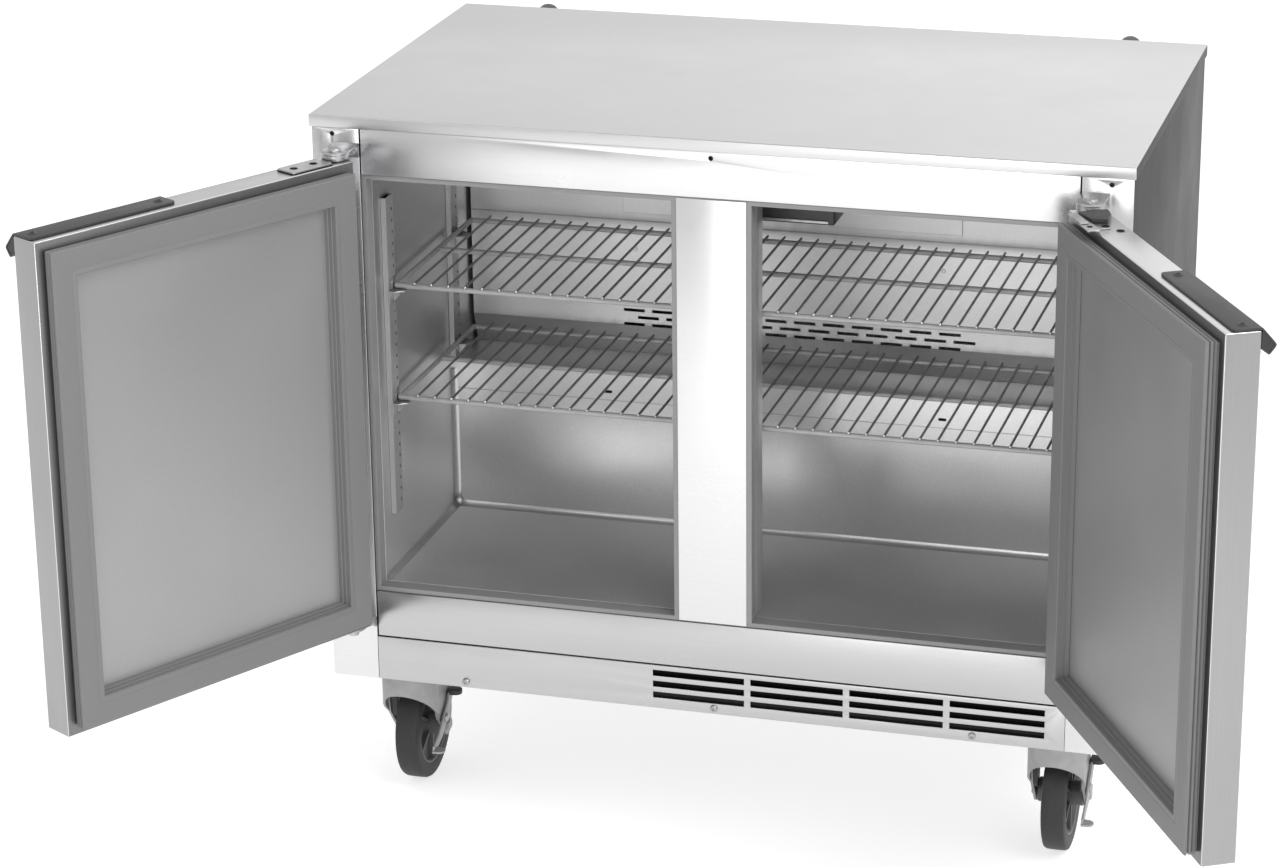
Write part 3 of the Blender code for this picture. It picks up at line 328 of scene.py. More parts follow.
def slotted(bm, low, high, columns, rows, thickness):
    """An upright sheet in X and Z from low to high, with a hole wherever a column crosses a row."""
    place = Matrix.Translation(((low[0] + high[0]) / 2, 0.0, (low[1] + high[1]) / 2))
    place = place @ Matrix.Rotation(math.pi / 2, 4, "X")
    place = place @ Matrix.Diagonal((high[0] - low[0], high[1] - low[1], 1.0, 1.0))
    bmesh.ops.create_grid(bm, x_segments=1, y_segments=1, size=0.5, matrix=place)
    for values, normal in ((columns, (1, 0, 0)), (rows, (0, 0, 1))):
        for pair in values:
            for value in pair:
                point = [value * part for part in normal]
                geom = bm.verts[:] + bm.edges[:] + bm.faces[:]
                bmesh.ops.bisect_plane(bm, geom=geom, dist=1e-7, plane_co=point, plane_no=normal)
    holes = []
    for face in bm.faces:
        middle = face.calc_center_median()
        across = any(first < middle.x < last for first, last in columns)
        upright = any(first < middle.z < last for first, last in rows)
        if across and upright:
            holes.append(face)
    bmesh.ops.delete(bm, geom=holes, context="FACES")
    grown = bmesh.ops.extrude_face_region(bm, geom=bm.faces[:])["geom"]
    moved = [item for item in grown if isinstance(item, bmesh.types.BMVert)]
    bmesh.ops.translate(bm, verts=moved, vec=(0.0, thickness, 0.0))


def loops_to_ring(bm, centre, half, profile):
    """Rectangles given by (inset, y) bridged one to the next into a closed mitred ring."""
    loops = []
    for inset, level in profile:
        wide, high = half[0] - inset, half[1] - inset
        corners = [bm.verts.new((centre[0] + sx * wide, level, centre[1] + sz * high))
                   for sx, sz in ((-1, -1), (1, -1), (1, 1), (-1, 1))]
        loops.append([bm.edges.new((corners[i - 1], corners[i])) for i in range(4)])
    for first, second in zip(loops, loops[1:] + loops[:1]):
        bmesh.ops.bridge_loops(bm, edges=first + second)


def arc(centre, radius, start, end, steps):
    """Points on an arc, angles in degrees."""
    turn = [math.radians(start + (end - start) * step / steps) for step in range(steps + 1)]
    return [(centre[0] + radius * math.cos(a), centre[1] + radius * math.sin(a)) for a in turn]


def make(name, bm, look, body, at=CABINET, replaces=(), angle=38.0, looks=None):
    """Finish a mesh as one piece, in its place, riding on its body."""
    bm.transform(at)
    bmesh.ops.recalc_face_normals(bm, faces=bm.faces)
    mesh = bpy.data.meshes.new(name)
    bm.to_mesh(mesh)
    bm.free()
    for surface in looks or (look,):
        mesh.materials.append(surface)
    mesh.shade_smooth()
    mesh.set_sharp_from_angle(angle=math.radians(angle))
    made = bpy.data.objects.new(name, mesh)
    bpy.context.scene.collection.objects.link(made)
    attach(made, body)
    if replaces:
        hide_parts(*replaces)


def copied(node):
    """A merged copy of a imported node's mesh with its flat faces whole again."""
    bm = bmesh.new()
    bm.from_mesh(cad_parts[node].data)
    bmesh.ops.remove_doubles(bm, verts=bm.verts, dist=1e-6)
    bmesh.ops.dissolve_limit(bm, angle_limit=math.radians(0.5), use_dissolve_boundaries=False,
                             verts=bm.verts, edges=bm.edges)
    return bm


def softened(node, width, look, body, segments=2, pick=None, looks=None):
    """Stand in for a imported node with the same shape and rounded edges."""
    bm = copied(node)
    soften(bm, width, segments)
    if pick:
        bmesh.ops.recalc_face_normals(bm, faces=bm.faces)
        for face in bm.faces:
            face.material_index = pick(face)
    make(node + "_sheet", bm, look, body, Matrix.Identity(4), (node,), looks=looks)


def carry(node, look):
    """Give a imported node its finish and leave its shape."""
    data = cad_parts[node].data
    data.materials.clear()
    data.materials.append(look)


def screw_head(bm, centre, axis, radius=0.0040, height=0.0018):
    """A pan head with a round recess."""
    outline = ((0.0, height * 0.45), (radius * 0.38, height * 0.45), (radius * 0.42, height),
               (radius * 0.75, height * 0.92), (radius, height * 0.35), (radius, 0.0), (0.0, 0.0))
    spun(bm, outline, axis, centre, 20)


# ---------------- cabinet shell

def shaded_side_pick(face):
    """The large upright side faces are duller than the folded front stile and take a near-black painted shade,
    standing in for the dark reflections on the sides.
    """
    return 1 if abs(face.normal.x) > 0.9 else 0


def cabinet_shell():
    for label, side in SIDES:
        softened(f"side_panel_{label}", 0.0005, BRUSHED, "cabinet", pick=shaded_side_pick,
                 looks=(BRUSHED, SIDE_PAINTED_SHADE))
    for node, width in (("top_rail", 0.0005), ("bottom_rail", 0.0005), ("kick_panel", 0.0004)):
        bm = copied(node)
        if node != "kick_panel":
            end = max(vert.co.x for vert in bm.verts)
            for vert in bm.verts:
                if abs(vert.co.x) > end - 0.0004:
                    vert.co.x -= math.copysign(0.0012, vert.co.x)
        soften(bm, width, 2)
        # The kick panel and bottom rail take the painted-shade copy of the steel.
        look = BRUSHED if node == "top_rail" else LOWER_FRONT_SHADED
        make(node + "_sheet", bm, look, "cabinet", Matrix.Identity(4), (node,))
    bm = bmesh.new()
    for side in (-1, 1):
        near, far = sorted((side * 0.3770, side * 0.3812))
        block(bm, (near, 0.0026, OPENING[1] + 0.0010), (far, 0.0034, BODY_HEIGHT - 0.0006))
        block(bm, (near, 0.0026, -0.0010), (far, 0.0034, OPENING[0] - 0.0010))
    block(bm, (-0.3770, 0.0034, 0.0470), (0.3770, 0.0042, 0.0500))
    make("joint_shadows", bm, DARK, "cabinet")
    softened("mullion_cover", 0.0003, BRUSHED, "cabinet")
    softened("mullion_post", 0.0008, LINER_SHEET, "cabinet")
    softened("breaker_frame", 0.0006, STRIP, "cabinet")
    softened("back_panel", 0.0003, GALVANISED, "cabinet")
    softened("base_pan", 0.0003, GALVANISED, "cabinet")

    bm = bmesh.new()
    block(bm, (-WIDTH / 2 - TOP_LAP, -0.0034, BODY_HEIGHT),
          (WIDTH / 2 + TOP_LAP, DEPTH + TOP_LAP, BODY_HEIGHT + 0.0130))
    soften(bm, 0.0011, 3)
    # The worktop's upright edges take the same painted shade as the side faces.
    for face in bm.faces:
        face.material_index = shaded_side_pick(face)
    make("worktop_sheet", bm, TOP_SHEET, "cabinet", replaces=("worktop",),
         looks=(TOP_SHEET, SIDE_PAINTED_SHADE))

    bm = bmesh.new()
    for left in (-0.2791, 0.0011, 0.2818):
        screw_head(bm, (left, -0.0002, 0.0045), "-y", 0.0042, 0.0022)
    make("kick_screws", bm, ZINC, "cabinet")

    bm = bmesh.new()
    span = 3 * 0.1080 + 0.1010
    first = WIDTH / 2 - 0.0736 - span
    for index in range(4):
        left = first + index * 0.1080
        for height in (0.0388, 0.0261, 0.0134):
            outline = [(0.0014, height + 0.0048), (0.0022, height + 0.0048), (0.0085, height - 0.0030),
                       (0.0077, height - 0.0036)]
            slab(bm, outline, "x", left - 0.002, left + 0.1030)
    make("louvre_blades", bm, DARK, "cabinet")

    bm = bmesh.new()
    block(bm, (-0.36, 0.0120, 0.0046), (0.36, 0.0132, 0.0462))
    make("louvre_backing", bm, DARK, "cabinet")


def back_details():
    softened("power_inlet", 0.0004, BLACK, "cabinet")
    bm = bmesh.new()
    for across, up in ((-0.0070, -0.0030), (0.0070, -0.0030), (0.0, 0.0040)):
        block(bm, (0.3500 + across - 0.0010, 0.4950, 0.0900 + up - 0.0022),
              (0.3500 + across + 0.0010, 0.5090, 0.0900 + up + 0.0022))
    make("inlet_pins", bm, ZINC, "cabinet")
    bm = bmesh.new()
    for across in (-0.405, -0.20, 0.0, 0.20, 0.405):
        for up in (0.030, 0.595):
            screw_head(bm, (across, DEPTH + 0.0001, up), "y", 0.0042, 0.0020)
    for across in (-0.405, 0.405):
        for up in (0.22, 0.41):
            screw_head(bm, (across, DEPTH + 0.0001, up), "y", 0.0042, 0.0020)
    make("back_screws", bm, ZINC, "cabinet")
    for label, side in SIDES:
        bm = bmesh.new()
        outline = [(0.0, 0.0450), (0.0052, 0.0446), (0.0092, 0.0432), (0.0118, 0.0402), (0.0128, 0.0360),
                   (0.0130, 0.0050), (0.0122, 0.0026), (0.0030, 0.0026), (0.0030, 0.0), (0.0, 0.0)]
        spun(bm, outline, "y", (side * 0.3430, DEPTH + 0.0003, 0.6185), 32)
        make(f"wall_bumper_{label}_dome", bm, BUMPER_RUBBER, "cabinet",
             replaces=(f"wall_bumper_{label}",))


# ---------------- cold space

def cavity():
    softened("liner", 0.0004, LINER_SHEET, "cabinet")
    carry("cabinet_foam", FOAM)
    carry("evaporator_cover", COVER_SHEET)

    bm = bmesh.new()
    half, low, front = CAVITY_HALF, CAVITY_FLOOR, 0.0205
    radius = 0.0060
    def cove(corner, along, start, end, turn):
        curve = arc(corner, radius, turn, turn + 90.0, 6)
        outer = {180.0: (-radius, -radius), 270.0: (radius, -radius)}[turn]
        outline = curve + [(corner[0] + outer[0], corner[1] + outer[1])]
        slab(bm, outline, along, start, end)
    for side in (-1, 1):
        x = side * (half - 0.0001 - radius)
        turn = 180.0 if side < 0 else 270.0
        cove((x, low + 0.0001 + radius), "y", front, STEP_FRONT, turn)
    cove((STEP_FRONT - 0.0001 - radius, low + 0.0001 + radius), "x", -half, half, 270.0)
    for side in (-1, 1):
        x = side * (half - 0.0001 - radius)
        y = STEP_FRONT - 0.0001 - radius
        start = 90.0 if side < 0 else 0.0
        curve = arc((x, y), radius, start, start + 90.0, 6)
        outline = curve + [(x + side * radius, y + radius)]
        slab(bm, outline, "z", low + 0.0001, STEP_TOP - 0.008)
        bmesh.ops.create_uvsphere(bm, u_segments=16, v_segments=8, radius=0.0048,
                                  matrix=Matrix.Translation((x, y, low + 0.0080)))
    make("liner_coves", bm, LINER_SHEET, "cabinet")

    bm = bmesh.new()
    block(bm, (-0.1898, COVER_FRONT - 0.0012, 0.4510), (0.1982, COVER_FRONT - 0.0002, 0.5600))
    soften(bm, 0.0004, 1)
    make("fan_access_plate", bm, COVER_SHEET, "cabinet")

    bm = bmesh.new()
    block(bm, (-0.3700, COVER_FRONT - 0.0006, 0.4414), (0.3700, COVER_FRONT - 0.0001, 0.4426))
    block(bm, (-half + 0.006, STEP_FRONT - 0.0005, 0.2495), (half - 0.006, STEP_FRONT - 0.0001, 0.2505))
    make("seam_lines", bm, GALVANISED, "cabinet")

    bm = bmesh.new()
    for across in (-0.1898, 0.1927):
        outline = arc((across - 0.0030, 0.2600), 0.0016, 90, 270, 6)
        outline += arc((across + 0.0030, 0.2600), 0.0016, -90, 90, 6)
        slab(bm, outline, "y", STEP_FRONT - 0.0006, STEP_FRONT + 0.0004)
    make("wall_holes", bm, DARK, "cabinet")

    bm = bmesh.new()
    for across in (-0.1758, 0.1777):
        screw_head(bm, (across, COVER_FRONT - 0.0001, 0.4090), "-y", 0.0024, 0.0010)
    make("cover_rivets", bm, COVER_SHEET, "cabinet")

    softened("control_box", 0.0020, BLACK, "cabinet", 3)
    softened("control_knob", 0.0006, BLACK, "knob")
    bm = bmesh.new()
    block(bm, (-0.0240, 0.1085, 0.5205), (0.0980, 0.1098, 0.5235))
    soften(bm, 0.0005, 1)
    make("control_trim", bm, ZINC, "cabinet")


def pilasters():
    for place, (middle, low) in PILASTERS.items():
        for label, side in SIDES:
            bm = bmesh.new()
            wide, deep, sheet = 0.0220, 0.0060, 0.0010
            rows = []
            height = low + 0.0100
            while height + 0.006 < PILASTER_TOP - 0.004:
                rows.append((height, height + 0.0036))
                height += 0.0127
            slotted(bm, (-wide / 2, low), (wide / 2, PILASTER_TOP), ((0.0046, 0.0086),), rows, sheet)
            for edge in (-1, 1):
                near, far = sorted((edge * (wide / 2 - sheet), edge * wide / 2))
                block(bm, (near, sheet, low), (far, deep - 0.0002, PILASTER_TOP))
            across = Matrix.Translation((side * (CAVITY_HALF - 0.0003 - deep), middle, 0.0))
            turn = Matrix.Rotation(-side * math.pi / 2, 4, "Z") @ Matrix.Diagonal((side * -1.0, 1.0, 1.0, 1.0))
            make(f"pilaster_{place}_{label}_channel", bm, PILASTER_SHEET, "cabinet",
                 CABINET @ across @ turn, (f"pilaster_{place}_{label}",))
            bm = bmesh.new()
            x = side * (CAVITY_HALF - 0.0006)
            near, far = sorted((x, side * (CAVITY_HALF - 0.0012)))
            block(bm, (near, middle - 0.0085, low + 0.004), (far, middle + 0.0085, PILASTER_TOP - 0.0005))
            make(f"pilaster_{place}_{label}_shadow", bm, DARK, "cabinet")


def shelves():
    """Each shelf runs the whole width on four clips, with thin wires across three long rods."""
    front, middle, back = SHELF_Y
    wire, rod, pitch = 0.0014, 0.0030, 0.01905
    for level, top in SHELVES.items():
        z = top - 2 * wire - rod + 0.0004
        end, near, far = SHELF_END - rod, front + rod, back - rod
        bm = bmesh.new()
        corners = [(end, near, z), (end, far, z), (-end, far, z), (-end, near, z)]
        bent_bar(bm, corners + corners[:2], rod, 12)
        bar(bm, (-end, middle, z), (end, middle, z), rod, 12)
        make(f"shelf_{level}_rods", bm, ROD_STEEL, "cabinet", replaces=(f"shelf_{level}",))

        bm = bmesh.new()
        tips = bmesh.new()
        for index in range(-18, 19):
            x = index * pitch + 0.0010
            bar(bm, (x, front - 0.0006, top - wire), (x, back + 0.0035, top - wire), wire, 8)
            # Short tapered ends on each wire carry the painted highlight.
            for y, out in ((front - 0.0006, -0.0008), (back + 0.0035, 0.0008)):
                bar(tips, (x, y, top - wire), (x, y + out, top - wire), wire, 8, wire * 0.45)
        make(f"shelf_{level}_wires", bm, WIRE_CHROME, "cabinet")
        make(f"shelf_{level}_tips", tips, WIRE_TIP_HIGHLIGHT, "cabinet")

        wall = CAVITY_HALF - 0.0070
        for label, side in SIDES:
            bm = bmesh.new()
            for y in (PILASTERS["front"][0], PILASTERS["rear"][0]):
                under = z - rod
                plan = [(wall + 0.0006, y - 0.0130), (wall + 0.0006, y + 0.0130), (wall - 0.0060, y + 0.0130),
                        (wall - 0.0160, y + 0.0060), (wall - 0.0160, y - 0.0060), (wall - 0.0060, y - 0.0130)]
                slab(bm, plan, "z", under - 0.0018, under - 0.0002)
                block(bm, (wall - 0.0008, y - 0.0130, under - 0.0150),
                      (wall + 0.0006, y + 0.0130, under - 0.0004))
                block(bm, (wall - 0.0008, y - 0.0030, under - 0.0004),
                      (wall + 0.0006, y + 0.0030, under + 0.0085))
                plan = [(wall - 0.0008, under - 0.0150), (wall - 0.0008, under - 0.0018),
                        (wall - 0.0125, under - 0.0018)]
                slab(bm, plan, "y", y - 0.0012, y + 0.0012)
            soften(bm, 0.0004, 1)
            make(f"shelf_{level}_{label}_clips", bm, ZINC, "cabinet",
                 CABINET @ Matrix.Diagonal((side, 1.0, 1.0, 1.0)))


def cooling_parts():
    for node in ("evaporator_coil", "condenser_coil"):
        softened(node, 0.0004, FINS, "cabinet", 1)
    softened("compressor", 0.0015, ENAMEL, "cabinet")
    softened("evaporator_fan", 0.0008, BLACK, "fan_cold")
    softened("condenser_fan", 0.0008, BLACK, "fan_hot")
    softened("evaporator_fan_motor", 0.0010, ENAMEL, "cabinet")
    softened("condenser_fan_motor", 0.0010, ENAMEL, "cabinet")


# ---------------- doors

def door_place(side):
    """From a door's own measures (x from hinge to free edge, y to the gasket) to where it stands."""
    hinge = Matrix.Translation((side * HINGE_X, -HINGE_OUT, 0.0))
    swung = hinge @ Matrix.Rotation(side * DOOR_ANGLE, 4, "Z")
    return CABINET @ swung @ Matrix.Diagonal((-side, 1.0, 1.0, 1.0))


def doors():
    low, high = DOOR_Z
    outer, inner = PAN_Y
    half = (DOOR_WIDTH / 2, (high - low) / 2)
    centre = ((FREE_EDGE - HINGE_EDGE) / 2, (low + high) / 2)
    for label, side in SIDES:
        at = door_place(side)
        body = f"door_{label}"

        bm = bmesh.new()
        block(bm, (-HINGE_EDGE, outer, low), (FREE_EDGE, inner, high))
        soften(bm, 0.0014, 3)
        bm.faces.ensure_lookup_table()
        inside = max(bm.faces, key=lambda face: face.calc_center_median().y * face.calc_area())
        bmesh.ops.inset_region(bm, faces=[inside], thickness=0.0210, depth=0.0, use_even_offset=True)
        bmesh.ops.inset_region(bm, faces=[inside], thickness=0.0004, depth=-0.0014, use_even_offset=True)
        for face in bm.faces:
            middle = face.calc_center_median()
            # Upright end faces take the painted-shade steel.
            if face.normal.x > 0.9:
                face.material_index = 1
            # The flange faces between edge and gasket take the near-black painted shade and reflection.
            elif face.normal.y > 0.9 or middle.y > inner - 0.0002:
                face.material_index = 2
            # Top faces take the door's own painted tone: darker on the left door, lighter on the right.
            elif face.normal.z > 0.9:
                face.material_index = 3
        top_painted_tone = DOOR_TOPS_LIT_AND_SHADED[label]
        make(f"{body}_pan", bm, UPRIGHT, body, at, (f"door_pan_{label}",),
             looks=(UPRIGHT, DOOR_END_SHADED, FLANGE_PAINTED_SHADE, top_painted_tone))

        bm = bmesh.new()
        face = inner + 0.0146 - 0.0003
        profile = [(0.0135, inner + 0.0003), (0.0112, inner + 0.0003), (0.0112, inner + 0.0022),
                   (0.0098, inner + 0.0030), (0.0098, inner + 0.0046), (0.0114, inner + 0.0056),
                   (0.0096, inner + 0.0068), (0.0096, inner + 0.0088), (0.0114, inner + 0.0098),
                   (0.0094, inner + 0.0110), (0.0094, face - 0.0012), (0.0104, face),
                   (0.0310, face), (0.0322, face - 0.0005), (0.0334, face), (0.0374, face),
                   (0.0382, face - 0.0010), (0.0388, face - 0.0060), (0.0398, face - 0.0064),
                   (0.0402, inner + 0.0040), (0.0412, inner + 0.0036), (0.0420, inner + 0.0003)]
        loops_to_ring(bm, centre, half, profile)
        make(f"{body}_gasket", bm, GASKET, body, at, (f"door_gasket_{label}",), angle=30.0)

        bm = bmesh.new()
        edge = 0.0223
        block(bm, (-HINGE_EDGE + edge, inner - 0.0012, low + edge), (FREE_EDGE - edge, inner, high - edge))
        soften(bm, 0.0003, 1)
        make(f"{body}_inner_panel", bm, PANEL, body, at, (f"door_panel_{label}",))

        door_handle(label, at, body)
        door_plates(label, side, at, body)


def door_handle(label, at, body):
    """Folded grip: flat plate on the door's top, a lip sloping down and out, and a short return."""
    top, outer = DOOR_Z[1], PAN_Y[0]
    inner = outer + 0.0270
    first, last = FREE_EDGE - 0.0005 - 0.1780, FREE_EDGE - 0.0005
    outside = [(inner, top + 0.0003), (inner, top + 0.0028), (outer + 0.0006, top + 0.0028),
               (outer - 0.0017, top + 0.0020), (outer - 0.0138, top - 0.0120), (outer - 0.0151, top - 0.0142),
               (outer - 0.0143, top - 0.0165), (outer - 0.0092, top - 0.0228), (outer - 0.0076, top - 0.0233),
               (outer - 0.0006, top - 0.0178)]
    inside = [(outer - 0.0006, top - 0.0158), (outer - 0.0076, top - 0.0213), (outer - 0.0130, top - 0.0143),
              (outer - 0.0010, top + 0.0003)]
    bm = bmesh.new()
    slab(bm, outside + inside, "x", first, last)
    bmesh.ops.recalc_face_normals(bm, faces=bm.faces)
    ends = []
    for edge in bm.edges:
        start, end = (vert.co for vert in edge.verts)
        flat = abs(start.x - end.x) < 1e-6
        if flat and abs(start.y - inner) < 1e-6 and abs(end.y - inner) < 1e-6:
            ends.append(edge)
    bmesh.ops.bevel(bm, geom=ends, offset=0.0055, offset_type="OFFSET", segments=5, profile=0.5,
                    affect="EDGES", clamp_overlap=True, material=-1)
    soften(bm, 0.0004, 2, 50.0)
    make(f"door_{label}_handle", bm, HANDLE_BLACK, body, at, (f"door_handle_{label}",))

    bm = bmesh.new()
    gusset = [(outer - 0.0010, top + 0.0002), (outer - 0.0130, top - 0.0143), (outer - 0.0076, top - 0.0213),
              (outer - 0.0006, top - 0.0158)]
    for start in (first + 0.0006, last - 0.0021):
        slab(bm, gusset, "x", start, start + 0.0015)
    for across in (first + 0.0125, last - 0.0125):
        outline = ((0.0, 0.0004), (0.0020, 0.0004), (0.0024, 0.0012), (0.0044, 0.0006), (0.0052, 0.0002),
                   (0.0, 0.0002))
        spun(bm, outline, "z", (across, outer + 0.0135, top + 0.0027), 20)
    make(f"door_{label}_handle_ends", bm, BLACK, body, at)


def rounded_plate(bm, low, high, z, radius):
    """A flat plate with rounded corners, given its two Z levels."""
    (x1, y1), (x2, y2) = low, high
    outline = (arc((x2 - radius, y2 - radius), radius, 0, 90, 4)
               + arc((x1 + radius, y2 - radius), radius, 90, 180, 4)
               + arc((x1 + radius, y1 + radius), radius, 180, 270, 4)
               + arc((x2 - radius, y1 + radius), radius, 270, 360, 4))
    slab(bm, outline, "z", *z)


def disc(bm, near, far, depth, middle, steps):
    """A round disc or countersink: radius near at the middle's level, radius far at the other level."""
    spun(bm, ((0.0, 0.0), (near, 0.0), (far, depth), (0.0, depth)), "z", middle, steps)


def door_plates(label, side, at, body):
    """Hinge plate let into the door's top, its screw holes, and the black closer block on the right door."""
    top = DOOR_Z[1]
    bm = bmesh.new()
    if side > 0:
        rounded_plate(bm, (0.0300, 0.0020), (0.0640, 0.0175), (top + 0.0002, top + 0.0012), 0.0030)
        rounded_plate(bm, (0.0330, 0.0165), (0.0730, 0.0300), (top + 0.0014, top + 0.0030), 0.0020)
        rounded_plate(bm, (0.0160, 0.0205), (0.0520, 0.0300), (top + 0.0032, top + 0.0046), 0.0015)
    else:
        rounded_plate(bm, (0.0160, -0.0100), (0.0690, 0.0165), (top + 0.0008, top + 0.0026), 0.0030)
    soften(bm, 0.0003, 1, 50.0)
    make(f"door_{label}_hinge_plate", bm, ZINC, body, at)

    bm = bmesh.new()
    if side > 0:
        disc(bm, 0.0028, 0.0028, -0.0010, (0.0604, 0.0232, top + 0.0032), 16)
        disc(bm, SCREW_HOLE, 0.0030, -0.0014, (0.0573, 0.0060, top + 0.0014), 20)
        disc(bm, SCREW_HOLE, 0.0030, -0.0004, (0.0720, -0.0040, top + 0.0004), 20)
    else:
        rounded_plate(bm, (0.0155, -0.0105), (0.0695, 0.0170), (top + 0.0001, top + 0.0008), 0.0030)
        for across in (0.0317, 0.0573):
            disc(bm, SCREW_HOLE, 0.0030, -0.0014, (across, 0.0035, top + 0.0028), 20)
    make(f"door_{label}_plate_holes", bm, DARK, body, at)

    if side > 0:
        bm = bmesh.new()
        plan = [(0.0170, -0.0115), (0.0330, -0.0090), (0.0510, 0.0010), (0.0450, 0.0160), (0.0180, 0.0200)]
        slab(bm, plan, "z", top + 0.0002, top + 0.0062)
        soften(bm, 0.0010, 2, 50.0)
        disc(bm, 0.0100, 0.0100, 0.0006, (0.0, 0.0, top + 0.0001), 24)
        make(f"door_{label}_closer", bm, BLACK, body, at)

    bm = bmesh.new()
    bottom = DOOR_Z[0]
    rounded_plate(bm, (0.0100, -0.0100), (0.0560, 0.0150), (bottom - 0.0020, bottom - 0.0001), 0.0030)
    for across in (0.0250, 0.0450):
        disc(bm, 0.0036, 0.0030, -0.0012, (across, 0.0030, bottom - 0.0021), 16)
    make(f"door_{label}_lower_plate", bm, ZINC, body, at)


def brackets():
    """Pressed hinge leaves with a rounded nose turned down, a low cap over the pin, and screws."""
    base = WIDTH / 2 - STILE
    for label, side in SIDES:
        at = CABINET @ Matrix.Diagonal((side, 1.0, 1.0, 1.0))
        pin = (HINGE_X, -HINGE_OUT)
        left, right = base - 0.0002, base + 0.0282
        for place, leaf in (("top", 0.6035), ("bottom", 0.0692)):
            bm = bmesh.new()
            nose = arc(pin, 0.0142, -12, -168, 14)
            if place == "top":
                outline = [(left, -0.0003), (right, -0.0003), (right, -0.0300)] + nose + [(left, -0.0300)]
            else:
                outline = [(left, -0.0003), (right, -0.0003), (right, -0.0120)]
                outline += arc(pin, 0.0125, 0, -180, 12) + [(left, -0.0120)]
            slab(bm, outline, "z", leaf, leaf + LEAF_SHEET)
            down = 0.0150 if place == "top" else 0.0110
            block(bm, (left, -0.0028, leaf - down + LEAF_SHEET), (right, -0.0003, leaf + 0.0024))
            for x in (left, right - 0.0020):
                rib = [(-0.0028, leaf), (-0.0028, leaf - 0.0090), (-0.0120, leaf)]
                slab(bm, rib, "x", x, x + 0.0020)
            if place == "top":
                skirt = [(right, -0.0300)] + nose + [(left, -0.0300)]
                within = arc(pin, 0.0124, -168, -12, 14)
                slab(bm, skirt + [(left + 0.0018, -0.0300)] + within + [(right - 0.0018, -0.0300)], "z",
                     DOOR_Z[1] + 0.0012, leaf + 0.0002)
            soften(bm, 0.0006, 2, 40.0)
            replaced = f"hinge_bracket_{place}_{label}"
            z = leaf + LEAF_SHEET
            if place == "top":
                drum = [(0.0, leaf - 0.0140), (0.0044, leaf - 0.0140), (0.0044, z - 0.0002),
                        (0.0068, z - 0.0001), (0.0068, z + 0.0024), (0.0062, z + 0.0032),
                        (0.0030, z + 0.0040), (0.0, z + 0.0042)]
            else:
                drum = [(0.0, leaf - 0.0065), (0.0050, leaf - 0.0065), (0.0058, leaf - 0.0058),
                        (0.0058, leaf - 0.0001), (0.0044, leaf - 0.0001), (0.0044, leaf + 0.0150),
                        (0.0, leaf + 0.0150)]
            spun(bm, list(reversed(drum)), "z", (*pin, 0.0), 32)
            make(f"{replaced}_pressing", bm, ZINC, "cabinet", at, (replaced,))
            bm = bmesh.new()
            for x in (base + 0.0070, base + 0.0210):
                screw_head(bm, (x, -0.0030, leaf - down * 0.40), "-y", 0.0034, 0.0014)
            make(f"{replaced}_screws", bm, ZINC, "cabinet", at)


# ---------------- casters

def casters():
    for row, y in CASTER_Y.items():
        for label, side in SIDES:
            name = f"{row}_{label}"
            at = CABINET @ Matrix.Translation((side * CASTER_X, y, 0.0))
            caster_yoke(name, at)
            caster_wheel(name, at)
            plate_parts(name, at)
            if row == "front":
                brake_lever(name, at)


def caster_yoke(name, at):
    """A round hood cut on the slant, with two legs inside it running back to the axle."""
    top, radius, sheet = -0.0024, 0.0312, 0.0028
    back, axle = AXLE
    bm = bmesh.new()
    slab(bm, arc((0.0, 0.0), radius, 0, 360, 40)[:-1], "z", -0.1000, top)
    bm.normal_update()
    low = min(bm.faces, key=lambda face: face.calc_center_median().z)
    bmesh.ops.delete(bm, geom=[low], context="FACES")
    slant = ((0.0, -radius, -0.0330), (0.0, -0.95, -1.0))
    level = ((0.0, 0.0, -0.0800), (0.0, 0.0, -1.0))
    for point, normal in (slant, level):
        geom = bm.verts[:] + bm.edges[:] + bm.faces[:]
        bmesh.ops.bisect_plane(bm, geom=geom, dist=1e-7, plane_co=point, plane_no=Vector(normal).normalized(),
                               clear_outer=True)
    rear = [face for face in bm.faces if face.calc_center_median().y > 0.0200 and abs(face.normal.z) < 0.5]
    bmesh.ops.delete(bm, geom=rear, context="FACES")
    bmesh.ops.recalc_face_normals(bm, faces=bm.faces)
    for face in bm.faces:
        if face.calc_center_median().z > top - 1e-5 and face.normal.z < 0:
            bmesh.ops.reverse_faces(bm, faces=bm.faces)
            break
    bmesh.ops.solidify(bm, geom=bm.faces[:], thickness=sheet)
    soften(bm, 0.0008, 2, 50.0)
    leg = [(-0.0060, top - 0.0004), (0.0280, top - 0.0004), (back + 0.0120, axle + 0.0240)]
    leg += arc((back, axle), 0.0125, 30, -120, 8) + [(0.0060, -0.0700)]
    for side in (-1, 1):
        near, far = sorted((side * 0.0262, side * 0.0290))
        slab(bm, leg, "x", near, far)
    make(f"caster_yoke_{name}_hood", bm, YOKE_STEEL, f"yoke_{name}", at, (f"caster_yoke_{name}",))


